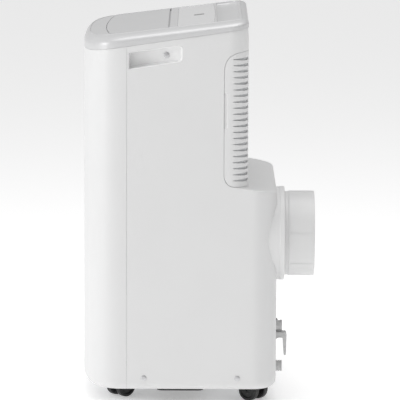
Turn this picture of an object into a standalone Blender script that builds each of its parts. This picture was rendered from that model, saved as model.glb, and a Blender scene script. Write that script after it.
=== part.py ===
"""A free-standing portable air conditioner on four twin-wheel castors, with a round hose outlet.

Metres, +Z up, front to -Y, hose outlet to +Y. The origin is on the floor under the middle of the whole box.
"""

import math

import bmesh
import bpy
from mathutils import Matrix, Vector

# Body: the plan is a superellipse in front, straight sides and two round rear corners.
BODY_WIDTH = 0.435
HALF = BODY_WIDTH / 2
FRONT_Y = -0.211
SEAM_Y = -0.129
UPPER_REAR_Y = 0.0895
LOWER_REAR_Y = 0.1425
UPPER_CORNER_R = 0.034
LOWER_CORNER_R = 0.045
FRONT_POWER = 3.1
WALL = 0.0025
BOTTOM_Z = 0.027
BOTTOM_FILLET = 0.015
GAP = 0.0003

# Planes that slope up or down towards the rear: height at y = 0 and slope.
RIM_Z, RIM_SLOPE = 0.6715, 0.150
TOP_Z, TOP_SLOPE = RIM_Z + 0.0188, 0.1216
SHOULDER_Z, SHOULDER_SLOPE = 0.4068, -0.132

# Where cutters end, clear of everything on each side of the body, behind it and above it.
FAR_X = HALF + 0.0825
FAR_Y = LOWER_REAR_Y + 0.1575
FAR_Z = TOP_Z + 0.1097
BELOW_Z = -0.01

# Top: rim, deck, flap and panel.
RIM_WIDTH, RIM_FRONT_WIDTH, RIM_REAR_WIDTH = 0.027, 0.011, 0.012
DECK_FLANGE_INSET = 0.004
DECK_WALL = 0.003
FLAP_WIDTH = BODY_WIDTH - 0.063
FLAP_FRONT_Y = -0.170
FLAP_HINGE_Y = -0.0575
FLAP_THICKNESS = 0.003
FLAP_BOW = 0.012
FLAP_SLOT = 0.003
FLAP_PIN_R = 0.0018
STRIP_LENGTH = 0.0135
PANEL_END_Y = 0.030
PANEL_THICKNESS = 0.003
DISH_END_Y = 0.074
DISH_DEPTH = 0.005
THROAT_WIDTH = FLAP_WIDTH - 0.072
THROAT_FRONT_Y = -0.150
THROAT_REAR_Y = -0.080
DISPLAY_SIZE = 0.018
VANE_COUNT = 4
VANE_THICKNESS = 0.002
VANE_CHORD = 0.052
VANE_HUB_R = 0.003

# Intake grille and filter.
GRILLE_FRONT_Y = 0.0455
GRILLE_BOTTOM_Z = 0.3985
GRILLE_TOP_DROP = 0.0405
GRILLE_TOP_R = 0.026
GRILLE_BOTTOM_R = 0.020
SLOT_PITCH = 0.01094
SLOT_FIRST_Z = GRILLE_BOTTOM_Z + 0.0125
SLOT_COUNT = int((RIM_Z + RIM_SLOPE * GRILLE_FRONT_Y - GRILLE_TOP_DROP - SLOT_FIRST_Z) / SLOT_PITCH) + 1
SLOT_HEIGHT = 0.0052
SLOT_START_Y = 0.062
SCALLOP_LENGTH = 0.065
SCALLOP_REACH = 0.007
SCALLOP_DEPTH = 0.0013
SCALLOP_Z = 0.5375
SLOT_FULL_Y = 0.082
SLOT_TIP_HEIGHT = 0.001
SLOT_RIB_X = 0.070
SLOT_RIB_HALF = 0.002
FILTER_THICKNESS = 0.006
FILTER_FRONT_Y = 0.058
FILTER_TOP_Z = RIM_Z - 0.0395
FILTER_CELL_BORDER = 0.004
FILTER_CELL_DEPTH = 0.0035

# Lower intake slots in the rear wall.
LOWER_SLOT_ROWS = 12
LOWER_SLOT_Z, LOWER_SLOT_PITCH = 0.115, 0.016
LOWER_SLOT_XS, LOWER_SLOT_LENGTH = (-0.165, -0.086), 0.073

# Hose outlet.
OUTLET_X, OUTLET_Z = HALF - 0.0955, 0.302
RING_R = 0.085
RING_END_Y = 0.157
RING_START_Y = 0.104
COLLAR_R = 0.0775
COLLAR_WALL = 0.003
COLLAR_END_Y = 0.211
SPIGOT_LENGTH = 0.020

# Handle recesses, one on each side.
HANDLE_FRONT_Y = -0.126
HANDLE_LENGTH = 0.097
HANDLE_HEIGHT = 0.031
HANDLE_DROP = 0.0265
HANDLE_DEEP = 0.024
HANDLE_SHALLOW = 0.009
HANDLE_CORNER_R = 0.009

# Screws, hook, drains and gland.
SCREW_HEAD_R = 0.0052
SCREW_HEAD_H = 0.0016
SCREW_SHANK_R = 0.002
SIDE_SCREW_YS = (-0.0976, 0.0713)
SIDE_SCREW_Z = 0.0495
REAR_FITTING_X = HALF - 0.1075
HOOK_Z = 0.111
HOOK_REACH = 0.0205
HOOK_DROP = 0.036
DRAIN_R = 0.0103
DRAIN_LENGTH = 0.012
UPPER_DRAIN_Z = 0.128
LOWER_DRAIN_Z = 0.0525
GLAND_X, GLAND_Z = -0.150, 0.085
GLAND_R = 0.008

# Castors.
WHEEL_R = 0.020
WHEEL_WIDTH = 0.0115
WHEEL_SPACING = 0.027
AXLE_R = 0.0025
TRAIL = 0.014
STEM_R = 0.005
HOOD_WALL = 0.002
CASTOR_TOP_Z = 0.0505
WELL_R = 0.0415
WELL_WALL = 0.0025
RUNNING_GAP = 0.0004
FRONT_CASTOR = (HALF - 0.0969, -0.1306, 42.0)
REAR_CASTOR = (HALF - 0.0635, 0.0907, -38.0)

# Base and skid.
PAN_FLOOR = 0.004
PAN_HEIGHT = 0.030
SKID_X, SKID_FRONT_Y, SKID_REAR_Y, SKID_Z = HALF - 0.0325, -0.075, 0.011, 0.0195

# Refrigeration inside.
TRAY_Z = 0.3725
COLD_HALF, COLD_TOP_Z = HALF - 0.0575, RIM_Z - 0.0395
EVAPORATOR = ((-COLD_HALF, 0.028, 0.405), (COLD_HALF, 0.056, COLD_TOP_Z - 0.004))
CONDENSER = ((0.006, -0.120, 0.062), (0.032, 0.120, 0.362))
FIN_PITCH = 0.020
COMPRESSOR = (0.1125 - HALF, -0.025, 0.058, 0.225)
ACCUMULATOR = (0.0305 - HALF, -0.045, 0.021, 0.150)
COOL_FAN = (0.0, -0.122, 0.495, 0.078, 0.052)
HEAT_FAN = (HALF - 0.0995, -0.035, 0.235, 0.068, 0.070)
SHAFT_R = 0.004
SCROLL_WALL = 0.002


# Materials.
def material(name, colour, roughness, metallic=0.0):
    made = bpy.data.materials.new(name)
    made.use_nodes = True
    shader = made.node_tree.nodes["Principled BSDF"]
    shader.inputs["Base Color"].default_value = (*colour, 1.0)
    shader.inputs["Roughness"].default_value = roughness
    shader.inputs["Metallic"].default_value = metallic
    made.diffuse_color = (*colour, 1.0)
    return made


def clear_scene():
    for obj in list(bpy.data.objects):
        bpy.data.objects.remove(obj)


# Planes.
def top_plane(y):
    return TOP_Z + TOP_SLOPE * y


def rim_plane(y):
    return RIM_Z + RIM_SLOPE * y


def shoulder_plane(y):
    return SHOULDER_Z + SHOULDER_SLOPE * y


def flat(z):
    return lambda y: z


def raised(plane, by):
    return lambda y: plane(y) + by


# Mesh building.
def finish_mesh(name, bm, finish):
    """Turn a bmesh into a named object with outward faces, smooth except at edges over 35 degrees."""
    bmesh.ops.remove_doubles(bm, verts=bm.verts, dist=1e-6)
    bmesh.ops.recalc_face_normals(bm, faces=bm.faces)
    mesh = bpy.data.meshes.new(name)
    bm.to_mesh(mesh)
    bm.free()
    mesh.shade_smooth()
    mesh.set_sharp_from_angle(angle=math.radians(35))
    obj = bpy.data.objects.new(name, mesh)
    bpy.context.scene.collection.objects.link(obj)
    if finish is None:
        obj.hide_render = True
        obj.display_type = "WIRE"
    else:
        mesh.materials.append(finish)
    return obj


def loft(name, rings, finish=None):
    """A closed solid through rings of equally many points, capped at both ends."""
    bm = bmesh.new()
    made = [[bm.verts.new(p) for p in ring] for ring in rings]
    count = len(rings[0])
    for low, high in zip(made, made[1:]):
        for i in range(count):
            j = (i + 1) % count
            bm.faces.new((low[i], low[j], high[j], high[i]))
    bm.faces.new(made[0])
    bm.faces.new(made[-1])
    return finish_mesh(name, bm, finish)


def prism(name, outline, low, high, finish=None):
    """A plan outline between two planes, each a height as a function of y."""
    return loft(name, [[(x, y, low(y)) for x, y in outline], [(x, y, high(y)) for x, y in outline]], finish)


def side_prism(name, outline, x_low, x_high, finish=None):
    """An outline in the YZ plane carried along X."""
    return loft(name, [[(x_low, y, z) for y, z in outline], [(x_high, y, z) for y, z in outline]], finish)


def front_prism(name, outline, y_low, y_high, finish=None):
    """An outline in the XZ plane carried along Y."""
    return loft(name, [[(x, y_low, z) for x, z in outline], [(x, y_high, z) for x, z in outline]], finish)


def block(name, low, high, finish=None):
    outline = [(low[0], low[1]), (high[0], low[1]), (high[0], high[1]), (low[0], high[1])]
    return prism(name, outline, flat(low[2]), flat(high[2]), finish)


def blocks(name, corners, finish=None):
    """Several separate boxes in one mesh, for cutting."""
    bm = bmesh.new()
    for low, high in corners:
        size = [b - a for a, b in zip(low, high)]
        middle = [(a + b) / 2 for a, b in zip(low, high)]
        place = Matrix.Translation(middle) @ Matrix.Diagonal((*size, 1.0))
        bmesh.ops.create_cube(bm, size=1.0, matrix=place)
    return finish_mesh(name, bm, finish)


def prisms(name, spans):
    """Several separate prisms along X in one mesh, for cutting: each an (y, z) outline with its two ends."""
    bm = bmesh.new()
    for outline, x_low, x_high in spans:
        low, high = [[bm.verts.new((x, y, z)) for y, z in outline] for x in (x_low, x_high)]
        count = len(outline)
        for i in range(count):
            j = (i + 1) % count
            bm.faces.new((low[i], low[j], high[j], high[i]))
        bm.faces.new(low)
        bm.faces.new(high)
    return finish_mesh(name, bm, None)


def turned(name, profile, place, finish=None, sides=24):
    """A profile of (radius, height) points spun about Z, then put in place. Radius 0 closes on the axis."""
    bm = bmesh.new()
    rings = []
    for radius, height in profile:
        if radius == 0.0:
            rings.append([bm.verts.new(place @ Vector((0.0, 0.0, height)))])
            continue
        ring = []
        for i in range(sides):
            angle = 2 * math.pi * i / sides
            point = Vector((radius * math.cos(angle), radius * math.sin(angle), height))
            ring.append(bm.verts.new(place @ point))
        rings.append(ring)
    pairs = list(zip(rings, rings[1:]))
    if len(rings[0]) > 1:
        pairs.append((rings[-1], rings[0]))
    for a, b in pairs:
        if len(a) == 1 and len(b) == 1:
            continue
        for i in range(sides):
            j = (i + 1) % sides
            corners = [a[i % len(a)], a[j % len(a)], b[j % len(b)], b[i % len(b)]]
            bm.faces.new(list(dict.fromkeys(corners)))
    return finish_mesh(name, bm, finish)


def along_x(x, y, z):
    return Matrix.Translation((x, y, z)) @ Matrix.Rotation(math.radians(90), 4, "Y")


def along_y(x, y, z):
    return Matrix.Translation((x, y, z)) @ Matrix.Rotation(math.radians(-90), 4, "X")


def along_z(x, y, z):
    return Matrix.Translation((x, y, z))


def disc(radius, length):
    return [(0.0, 0.0), (radius, 0.0), (radius, length), (0.0, length)]


def combine(obj, other, operation):
    step = obj.modifiers.new(operation.lower(), "BOOLEAN")
    step.operation = operation
    step.solver = "EXACT"
    step.object = other
    return obj


def cut(obj, *others):
    for other in others:
        combine(obj, other, "DIFFERENCE")
    return obj


def add(obj, *others):
    for other in others:
        combine(obj, other, "UNION")
    return obj


# Outlines.
def arc(cx, cy, radius, start, end, steps):
    angles = [math.radians(start + (end - start) * i / steps) for i in range(steps + 1)]
    return [(cx + radius * math.cos(a), cy + radius * math.sin(a)) for a in angles]


def body_outline(rear_y, corner_r, inset=0.0, front_inset=None, rear_inset=None, front_steps=20, corner_steps=4):
    """The body's plan, anticlockwise from the left seam round the front.

    It is moved in by inset, or by other amounts in front and behind, and then the rear corners are ellipses.
    """
    front_inset = inset if front_inset is None else front_inset
    rear_inset = inset if rear_inset is None else rear_inset
    half, depth = HALF - inset, SEAM_Y - FRONT_Y - front_inset
    points = []
    for i in range(front_steps + 1):
        angle = math.pi + math.pi * i / front_steps
        c, s = math.cos(angle), math.sin(angle)
        x = half * math.copysign(abs(c) ** (2 / FRONT_POWER), c)
        points.append((x, SEAM_Y - depth * abs(s) ** (2 / FRONT_POWER)))
    turn_y = UPPER_REAR_Y - UPPER_CORNER_R
    centre_x, centre_y = HALF - corner_r, rear_y - corner_r
    quarter = arc(0, 0, 1, 0, 90, corner_steps)
    corner = [(x * (corner_r - inset), y * (corner_r - rear_inset)) for x, y in quarter]
    points.append((half, turn_y))
    points += [(centre_x + x, centre_y + y) for x, y in corner]
    points += [(-centre_x - x, centre_y + y) for x, y in reversed(corner)]
    points.append((-half, turn_y))
    return points


def upper_outline(inset=0.0):
    return body_outline(UPPER_REAR_Y, UPPER_CORNER_R, inset)


def lower_outline(inset=0.0):
    return body_outline(LOWER_REAR_Y, LOWER_CORNER_R, inset)


def rim_outline(share, more=0.0):
    """The plan at a share of the rim's width inwards: wide at the sides, narrow in front and behind."""
    widths = [share * width + more for width in (RIM_WIDTH, RIM_FRONT_WIDTH, RIM_REAR_WIDTH)]
    return body_outline(UPPER_REAR_Y, UPPER_CORNER_R, *widths)


def fillet_steps(inset, count=4):
    """(inset, height) pairs up the bottom fillet for a surface that lies inset behind the outer one."""
    steps = []
    for i in range(count + 1):
        angle = math.radians(90 * i / count)
        further = inset + BOTTOM_FILLET * (1 - math.sin(angle))
        steps.append((further, BOTTOM_Z + BOTTOM_FILLET * (1 - math.cos(angle))))
    return steps


def body_solid(name, inset, top, low_end=0.0, finish=None):
    """The whole body: filleted bottom, lower bulge, sloped shoulder and upper body up to the plane top."""
    rings = []
    if low_end:
        first_inset = fillet_steps(inset)[0][0]
        rings.append([(x, y, BOTTOM_Z - low_end) for x, y in lower_outline(first_inset)])
    for step_inset, z in fillet_steps(inset):
        rings.append([(x, y, z) for x, y in lower_outline(step_inset)])
    shoulder = raised(shoulder_plane, -inset)
    rings.append([(x, y, shoulder(y)) for x, y in lower_outline(inset)])
    rings.append([(x, y, shoulder(y)) for x, y in upper_outline(inset)])
    rings.append([(x, y, top(y)) for x, y in upper_outline(inset)])
    return loft(name, rings, finish)


def rounded_rectangle(low, high, radii, steps=4):
    """Corner radii in the order low-low, high-low, high-high, low-high."""
    (x0, y0), (x1, y1) = low, high
    r = radii
    points = arc(x0 + r[0], y0 + r[0], r[0], 180, 270, steps)
    points += arc(x1 - r[1], y0 + r[1], r[1], 270, 360, steps)
    points += arc(x1 - r[2], y1 - r[2], r[2], 0, 90, steps)
    points += arc(x0 + r[3], y1 - r[3], r[3], 90, 180, steps)
    return points


# Outer shell.
def build_front_cover(white):
    cover = body_solid("front_cover", 0.0, raised(rim_plane, -GAP), finish=white)
    cut(cover, body_solid("cut_front_hollow", WALL, raised(rim_plane, 0.01), low_end=0.005))
    behind = block("cut_front_behind", (-FAR_X, SEAM_Y - GAP / 2, BELOW_Z), (FAR_X, FAR_Y, FAR_Z))
    return cut(cover, behind)


def grille_outline(margin):
    """The side view of the grille's place: round front corners and a top edge parallel to the rim."""
    front, bottom = GRILLE_FRONT_Y + margin, GRILLE_BOTTOM_Z + margin
    outline = rounded_rectangle(
        (front, bottom),
        (0.2, rim_plane(front) - GRILLE_TOP_DROP - margin),
        (GRILLE_BOTTOM_R - margin, 0.001, 0.001, GRILLE_TOP_R - margin),
    )
    middle = (bottom + rim_plane(front)) / 2
    return [(y, z + (RIM_SLOPE * (y - front) if z > middle else 0.0)) for y, z in outline]


def handle_outline(margin):
    """The side view of a handle recess: square in front, round behind, sloped with the rim."""
    front, rear = HANDLE_FRONT_Y - margin, HANDLE_FRONT_Y + HANDLE_LENGTH + margin
    low, high = -HANDLE_DROP - HANDLE_HEIGHT / 2 - margin, -HANDLE_DROP + HANDLE_HEIGHT / 2 + margin
    corner = HANDLE_CORNER_R + margin
    outline = rounded_rectangle((front, low), (rear, high), (0.002 + margin, corner, corner, 0.002 + margin))
    return [(y, rim_plane(y) + z) for y, z in outline]


def handle_depth(y):
    along = (y - HANDLE_FRONT_Y) / HANDLE_LENGTH
    return HANDLE_DEEP + (HANDLE_SHALLOW - HANDLE_DEEP) * along


def side_screw_hole(y, x_low, x_high):
    """The corners of a square hole for a side screw's shank."""
    half = SCREW_SHANK_R + 0.0006
    return (x_low, y - half, SIDE_SCREW_Z - half), (x_high, y + half, SIDE_SCREW_Z + half)


def build_rear_housing(white):
    housing = body_solid("rear_housing", 0.0, raised(rim_plane, -GAP), finish=white)
    cut(housing, body_solid("cut_rear_hollow", WALL, raised(rim_plane, 0.01), low_end=0.005))
    cut(housing, block("cut_rear_before", (-FAR_X, FRONT_Y - 0.05, BELOW_Z), (FAR_X, SEAM_Y + GAP / 2, FAR_Z)))
    cut(housing, side_prism("cut_grille_place", grille_outline(0.0), -FAR_X, FAR_X))
    cut(housing, side_prism("cut_handles", handle_outline(0.0), -FAR_X, FAR_X))
    outlet_start = along_y(OUTLET_X, RING_START_Y - 0.02, OUTLET_Z)
    cut(housing, turned("cut_outlet", disc(RING_R + GAP, 0.2), outlet_start, sides=32))
    for name, x, y, _ in castor_places():
        cut(housing, turned("cut_swing_" + name, disc(WELL_R, CASTOR_TOP_Z), along_z(x, y, 0.0)))
    rear_slots = []
    for row in range(LOWER_SLOT_ROWS):
        z = LOWER_SLOT_Z + LOWER_SLOT_PITCH * row
        for x in LOWER_SLOT_XS:
            rear_slots.append(((x, 0.1, z), (x + LOWER_SLOT_LENGTH, 0.2, z + LOWER_SLOT_PITCH / 2)))
    cut(housing, blocks("cut_lower_slots", rear_slots))
    for name, x, z, radius in (
        ("cut_upper_drain", REAR_FITTING_X, UPPER_DRAIN_Z, DRAIN_R - 0.003 + GAP),
        ("cut_lower_drain", REAR_FITTING_X, LOWER_DRAIN_Z, DRAIN_R - 0.003 + GAP),
        ("cut_gland", GLAND_X, GLAND_Z, GLAND_R + GAP),
    ):
        cut(housing, turned(name, disc(radius, 0.1), along_y(x, LOWER_REAR_Y - 0.05, z), sides=16))
    screws = []
    for y in SIDE_SCREW_YS:
        screws.append(side_screw_hole(y, -FAR_X, FAR_X))
    return cut(housing, blocks("cut_screw_holes", screws))


def build_handle_cup(side, white):
    """A recess cup behind the side wall, deep in front and shallow behind."""
    name = "handle_cup_right" if side > 0 else "handle_cup_left"
    face = HALF - WALL - GAP
    outer, inner = handle_outline(0.003), handle_outline(0.0)
    shell = [[(side * face, y, z) for y, z in outer]]
    shell.append([(side * (HALF - handle_depth(y) - DECK_WALL), y, z) for y, z in outer])
    hollow = [[(side * (face + 0.01), y, z) for y, z in inner]]
    hollow.append([(side * (HALF - handle_depth(y)), y, z) for y, z in inner])
    return cut(loft(name, shell, white), loft("cut_" + name, hollow))


def screw(name, place, finish):
    """A pan head with a square driver socket and a short shank behind it."""
    radius, height = SCREW_HEAD_R, SCREW_HEAD_H
    profile = [(0.0, -0.006), (SCREW_SHANK_R, -0.006), (SCREW_SHANK_R, 0.0), (radius, 0.0)]
    profile += [(radius, height * 0.5), (radius * 0.75, height), (0.0, height)]
    made = turned(name, profile, place, finish, sides=10)
    socket_end = place @ Matrix.Translation((0, 0, height - 0.001))
    return cut(made, turned("cut_" + name, disc(radius * 0.36, 0.004), socket_end, sides=4))


def build_screws(grey):
    for side, word in ((1, "right"), (-1, "left")):
        out = Matrix.Rotation(math.radians(90 * side), 4, "Y")
        for index, y in enumerate(SIDE_SCREW_YS):
            place = Matrix.Translation((side * (HALF + GAP), y, SIDE_SCREW_Z)) @ out
            screw(f"side_screw_{word}_{index + 1}", place, grey)
        y = HANDLE_FRONT_Y + 0.068
        seat = Vector((side * (HALF - handle_depth(y) + 0.0012), y, rim_plane(y) - HANDLE_DROP))
        place = Matrix.Translation(seat) @ out
        hole_start = place @ Matrix.Translation((0, 0, -0.02))
        hole = turned(f"cut_handle_screw_{word}", disc(SCREW_SHANK_R + 0.0004, 0.03), hole_start, sides=12)
        cut(bpy.data.objects[f"handle_cup_{word}"], hole)
        screw(f"handle_screw_{word}", place, grey)


# Base, skid and rear fittings.
def castor_places():
    """Each castor's name, stem position and axle heading in degrees from +X."""
    places = []
    for end, (x, y, heading) in (("front", FRONT_CASTOR), ("rear", REAR_CASTOR)):
        places.append((f"castor_{end}_right", x, y, heading))
        places.append((f"castor_{end}_left", -x, y, 180 - heading))
    return places


def build_base_pan(grey):
    clearance = WALL + 0.0006
    rings = [[(x, y, z + 0.0006) for x, y in lower_outline(inset)] for inset, z in fillet_steps(clearance)]
    top = BOTTOM_Z + PAN_HEIGHT
    rings.append([(x, y, top) for x, y in lower_outline(clearance)])
    pan = loft("base_pan", rings, grey)
    inside = lower_outline(clearance + BOTTOM_FILLET + 0.003)
    floor = BOTTOM_Z + PAN_FLOOR
    roof = CASTOR_TOP_Z + 0.0015
    pocket = prism("cut_pan_pocket", inside, flat(floor), flat(top + 0.01))
    for name, x, y, _ in castor_places():
        cut(pocket, turned("well_" + name, disc(WELL_R + WELL_WALL, roof + WELL_WALL), along_z(x, y, 0.0)))
    cut(pan, pocket)
    for name, x, y, _ in castor_places():
        cut(pan, turned("cut_well_" + name, disc(WELL_R, roof), along_z(x, y, 0.0)))
        cut(pan, turned("cut_stem_" + name, disc(STEM_R + GAP, 0.04), along_z(x, y, roof - 0.01), sides=16))
    holes = []
    for y in SIDE_SCREW_YS:
        for low, high in ((-FAR_X, 0.0175 - HALF), (HALF - 0.0175, FAR_X)):
            holes.append(side_screw_hole(y, low, high))
    cut(pan, blocks("cut_pan_screws", holes))
    drain_start = along_y(REAR_FITTING_X, 0.09, LOWER_DRAIN_Z)
    return cut(pan, turned("cut_pan_drain", disc(DRAIN_R - 0.003 + GAP, 0.1), drain_start))


def build_skid(black):
    outline = rounded_rectangle((-SKID_X, SKID_FRONT_Y), (SKID_X, SKID_REAR_Y), (0.006,) * 4)
    low = [(x * 0.985, y, SKID_Z) for x, y in outline]
    high = [(x, y, BOTTOM_Z + 0.0006 - GAP) for x, y in outline]
    return loft("base_skid", [low, high], black)


def build_cord_hook(white):
    face = LOWER_REAR_Y + GAP
    tip = face + HOOK_REACH
    outline = [(face, HOOK_Z - 0.008), (face + 0.004, HOOK_Z - 0.0045), (tip - 0.0075, HOOK_Z - 0.0045)]
    outline += [(tip - 0.0055, HOOK_Z - HOOK_DROP), (tip - 0.0035, HOOK_Z - HOOK_DROP - 0.0015)]
    outline += [(tip - 0.001, HOOK_Z - HOOK_DROP), (tip, HOOK_Z + 0.003), (tip - 0.002, HOOK_Z + 0.0055)]
    outline += [(face, HOOK_Z + 0.0055)]
    x = REAR_FITTING_X
    hook = side_prism("cord_hook", outline, x - 0.011, x + 0.011, white)
    bevel = hook.modifiers.new("soft_edges", "BEVEL")
    bevel.width = 0.0008
    bevel.segments = 1
    return hook


def build_drain(name, z, ribs, white):
    """A plug: a cap outside, a thinner plug through the wall behind it."""
    radius, neck = DRAIN_R, DRAIN_R - 0.003
    profile = [(0.0, -0.010), (neck, -0.010), (neck, 0.0), (radius, 0.0)]
    step = DRAIN_LENGTH / (2 * ribs + 1)
    for rib in range(ribs):
        start = step * (2 * rib + 1)
        profile += [(radius, start), (radius - 0.0008, start + 0.0003)]
        profile += [(radius - 0.0008, start + step - 0.0003), (radius, start + step)]
    profile += [(radius, DRAIN_LENGTH - 0.001), (radius - 0.001, DRAIN_LENGTH), (0.0, DRAIN_LENGTH)]
    return turned(name, profile, along_y(REAR_FITTING_X, LOWER_REAR_Y + GAP, z), white, sides=16)


def build_gland(black):
    """An empty cable gland: a flanged bush with a through hole."""
    r = GLAND_R
    profile = [(0.0035, -0.008), (r, -0.008), (r, 0.0), (r + 0.003, 0.0)]
    profile += [(r + 0.003, 0.003), (r - 0.001, 0.010), (0.0035, 0.010)]
    return turned("cord_gland", profile, along_y(GLAND_X, LOWER_REAR_Y + GAP, GLAND_Z), black, sides=14)


# Top: rim, deck, flap, panel and vanes.
def rim_surface(y, rise):
    """Height of the rim at a share of its rise from the lower edge to the top plane."""
    return rim_plane(y) + rise * (top_plane(y) - rim_plane(y))


def build_rim(silver):
    steps = [(0.0, 0.0), (0.0, 0.36), (0.02, 0.47), (0.10, 0.62), (0.25, 0.76)]
    steps += [(0.52, 0.90), (0.9, 0.99), (1.0, 1.0)]
    rings = []
    for share, rise in steps:
        rings.append([(x, y, rim_surface(y, rise)) for x, y in rim_outline(share)])
    rings.append([(x, y, rim_plane(y)) for x, y in rim_outline(1.0)])
    bm = bmesh.new()
    made = [[bm.verts.new(p) for p in ring] for ring in rings]
    count = len(rings[0])
    for low, high in zip(made, made[1:] + made[:1]):
        for i in range(count):
            j = (i + 1) % count
            bm.faces.new((low[i], low[j], high[j], high[i]))
    return finish_mesh("top_rim", bm, silver)


def flap_outline(margin):
    """The flap's plan: straight rear edge, bowed front edge with round corners."""
    half, rear = FLAP_WIDTH / 2 + margin, FLAP_HINGE_Y + 0.002 + margin
    corner = 0.022
    front = []
    for i in range(13):
        x = -half + 2 * half * i / 12
        edge = max(0.0, (abs(x) - (half - corner)) / corner)
        rounding = corner * (1 - math.sqrt(1 - min(1.0, edge) ** 2))
        front.append((x, FLAP_FRONT_Y - margin + FLAP_BOW * (x / half) ** 2 + rounding))
    return front + [(half, rear), (-half, rear)]


def build_deck(silver):
    """The moulding inside the rim: flap recess with the air throat, panel recess and rear dish."""
    low, flange_top = raised(rim_plane, -0.0035), raised(rim_plane, -GAP)
    deck = prism("top_deck", rim_outline(1.0, GAP), low, top_plane, silver)
    flange = prism("deck_flange", upper_outline(DECK_FLANGE_INSET), low, flange_top)
    add(deck, flange)
    below = raised(top_plane, -FLAP_THICKNESS - 0.004 - DECK_WALL)
    cut(deck, prism("cut_deck_below", rim_outline(1.0, GAP + 0.004), raised(low, -0.01), below))
    recess = raised(top_plane, -FLAP_THICKNESS - 0.001)
    over = raised(top_plane, 0.02)
    place = flap_outline(0.001)
    rear = FLAP_HINGE_Y + 0.002 + FLAP_SLOT
    place = place[:-2] + [(place[-2][0], rear), (place[-1][0], rear)]
    cut(deck, prism("cut_flap_place", place, recess, over))
    wide = THROAT_WIDTH / 2
    throat = rounded_rectangle((-wide, THROAT_FRONT_Y), (wide, THROAT_REAR_Y), (0.008,) * 4)
    cut(deck, prism("cut_throat", throat, flat(0.5), over))
    middle = vane_y()
    bar = [(-wide - 0.01, middle - 0.005), (wide + 0.01, middle - 0.005)]
    bar += [(wide + 0.01, middle + 0.005), (-wide - 0.01, middle + 0.005)]
    add(deck, prism("vane_bar", bar, raised(top_plane, -0.0125), raised(top_plane, -0.0075)))
    for x in vane_xs():
        hole = disc(VANE_HUB_R + GAP, 0.03)
        hole_start = along_z(x, middle, top_plane(middle) - 0.02)
        cut(deck, turned(f"cut_vane_hole_{x:.3f}", hole, hole_start, sides=12))
    cut(deck, prism("cut_panel_place", panel_outline(GAP), raised(top_plane, -PANEL_THICKNESS - GAP), over))
    half = HALF - RIM_WIDTH - 0.006
    dish = rounded_rectangle((-half, PANEL_END_Y + 0.002), (half, DISH_END_Y), (0.004, 0.004, 0.016, 0.016))
    centre_y = (PANEL_END_Y + DISH_END_Y) / 2
    small = [(x * 0.97, centre_y + (y - centre_y) * 0.85) for x, y in dish]
    bottom = [(x, y, top_plane(y) - DISH_DEPTH) for x, y in small]
    middle = [(x, y, top_plane(y)) for x, y in dish]
    high = [(x, y, top_plane(y) + 0.02) for x, y in dish]
    cut(deck, loft("cut_dish", [bottom, middle, high]))
    pin_z = hinge_z()
    reach = FLAP_WIDTH / 2 + 0.004
    place = along_x(-reach, FLAP_HINGE_Y, pin_z)
    pins = turned("cut_hinge_holes", disc(FLAP_PIN_R + GAP, 2 * reach), place, sides=12)
    return cut(deck, pins)


def panel_outline(margin):
    """The control panel's plan, with a slightly bowed rear edge."""
    half = HALF - RIM_WIDTH - 0.002 + margin
    front = FLAP_HINGE_Y + 0.002 + FLAP_SLOT + STRIP_LENGTH - margin
    rear = PANEL_END_Y + margin
    points = [(-half, front), (half, front)]
    for i in range(9):
        x = half - 2 * half * i / 8
        points.append((x, rear - 0.003 * (x / half) ** 2))
    return points


def build_panel(glossy, dark):
    panel = prism("control_panel", panel_outline(-GAP), raised(top_plane, -PANEL_THICKNESS), top_plane, glossy)
    half = DISPLAY_SIZE / 2
    low, high = raised(top_plane, -0.0012), raised(top_plane, 0.01)
    hole = rounded_rectangle((-half - GAP, -half - GAP), (half + GAP, half + GAP), (0.002,) * 4, 2)
    cut(panel, prism("cut_display", hole, low, high))
    window = rounded_rectangle((-half, -half), (half, half), (0.0017,) * 4, 2)
    prism("display_window", window, raised(top_plane, -0.0012 + GAP), raised(top_plane, 0.0), dark)
    return panel


def hinge_z():
    return top_plane(FLAP_HINGE_Y) - FLAP_THICKNESS / 2


def build_flap(silver):
    """The air flap, with a round rear bead and a pivot pin at each end."""
    flap = prism("louver_flap", flap_outline(0.0), raised(top_plane, -FLAP_THICKNESS), top_plane, silver)
    half = FLAP_WIDTH / 2
    pin_start = along_x(-half - 0.002, FLAP_HINGE_Y, hinge_z())
    return add(flap, turned("flap_pins", disc(FLAP_PIN_R, 2 * half + 0.004), pin_start, sides=12))


def vane_y():
    return (THROAT_FRONT_Y + THROAT_REAR_Y) / 2


def vane_xs():
    return [(index - (VANE_COUNT - 1) / 2) * THROAT_WIDTH / VANE_COUNT for index in range(VANE_COUNT)]


def build_vanes(grey):
    """Upright deflector vanes under the flap, each on a pivot that hangs in the deck's bar."""
    half, middle = VANE_CHORD / 2, vane_y()
    low, high = raised(top_plane, -0.036), raised(top_plane, -0.0135)
    for index, x in enumerate(vane_xs()):
        left, right = x - VANE_THICKNESS / 2, x + VANE_THICKNESS / 2
        outline = [(left, middle - half), (right, middle - half), (right, middle + half), (left, middle + half)]
        vane = prism(f"deflector_vane_{index + 1}", outline, low, high, grey)
        place = along_z(x, middle, top_plane(middle) - 0.042)
        add(vane, turned(f"vane_hub_{index + 1}", disc(VANE_HUB_R, 0.0335), place, sides=12))


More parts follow.
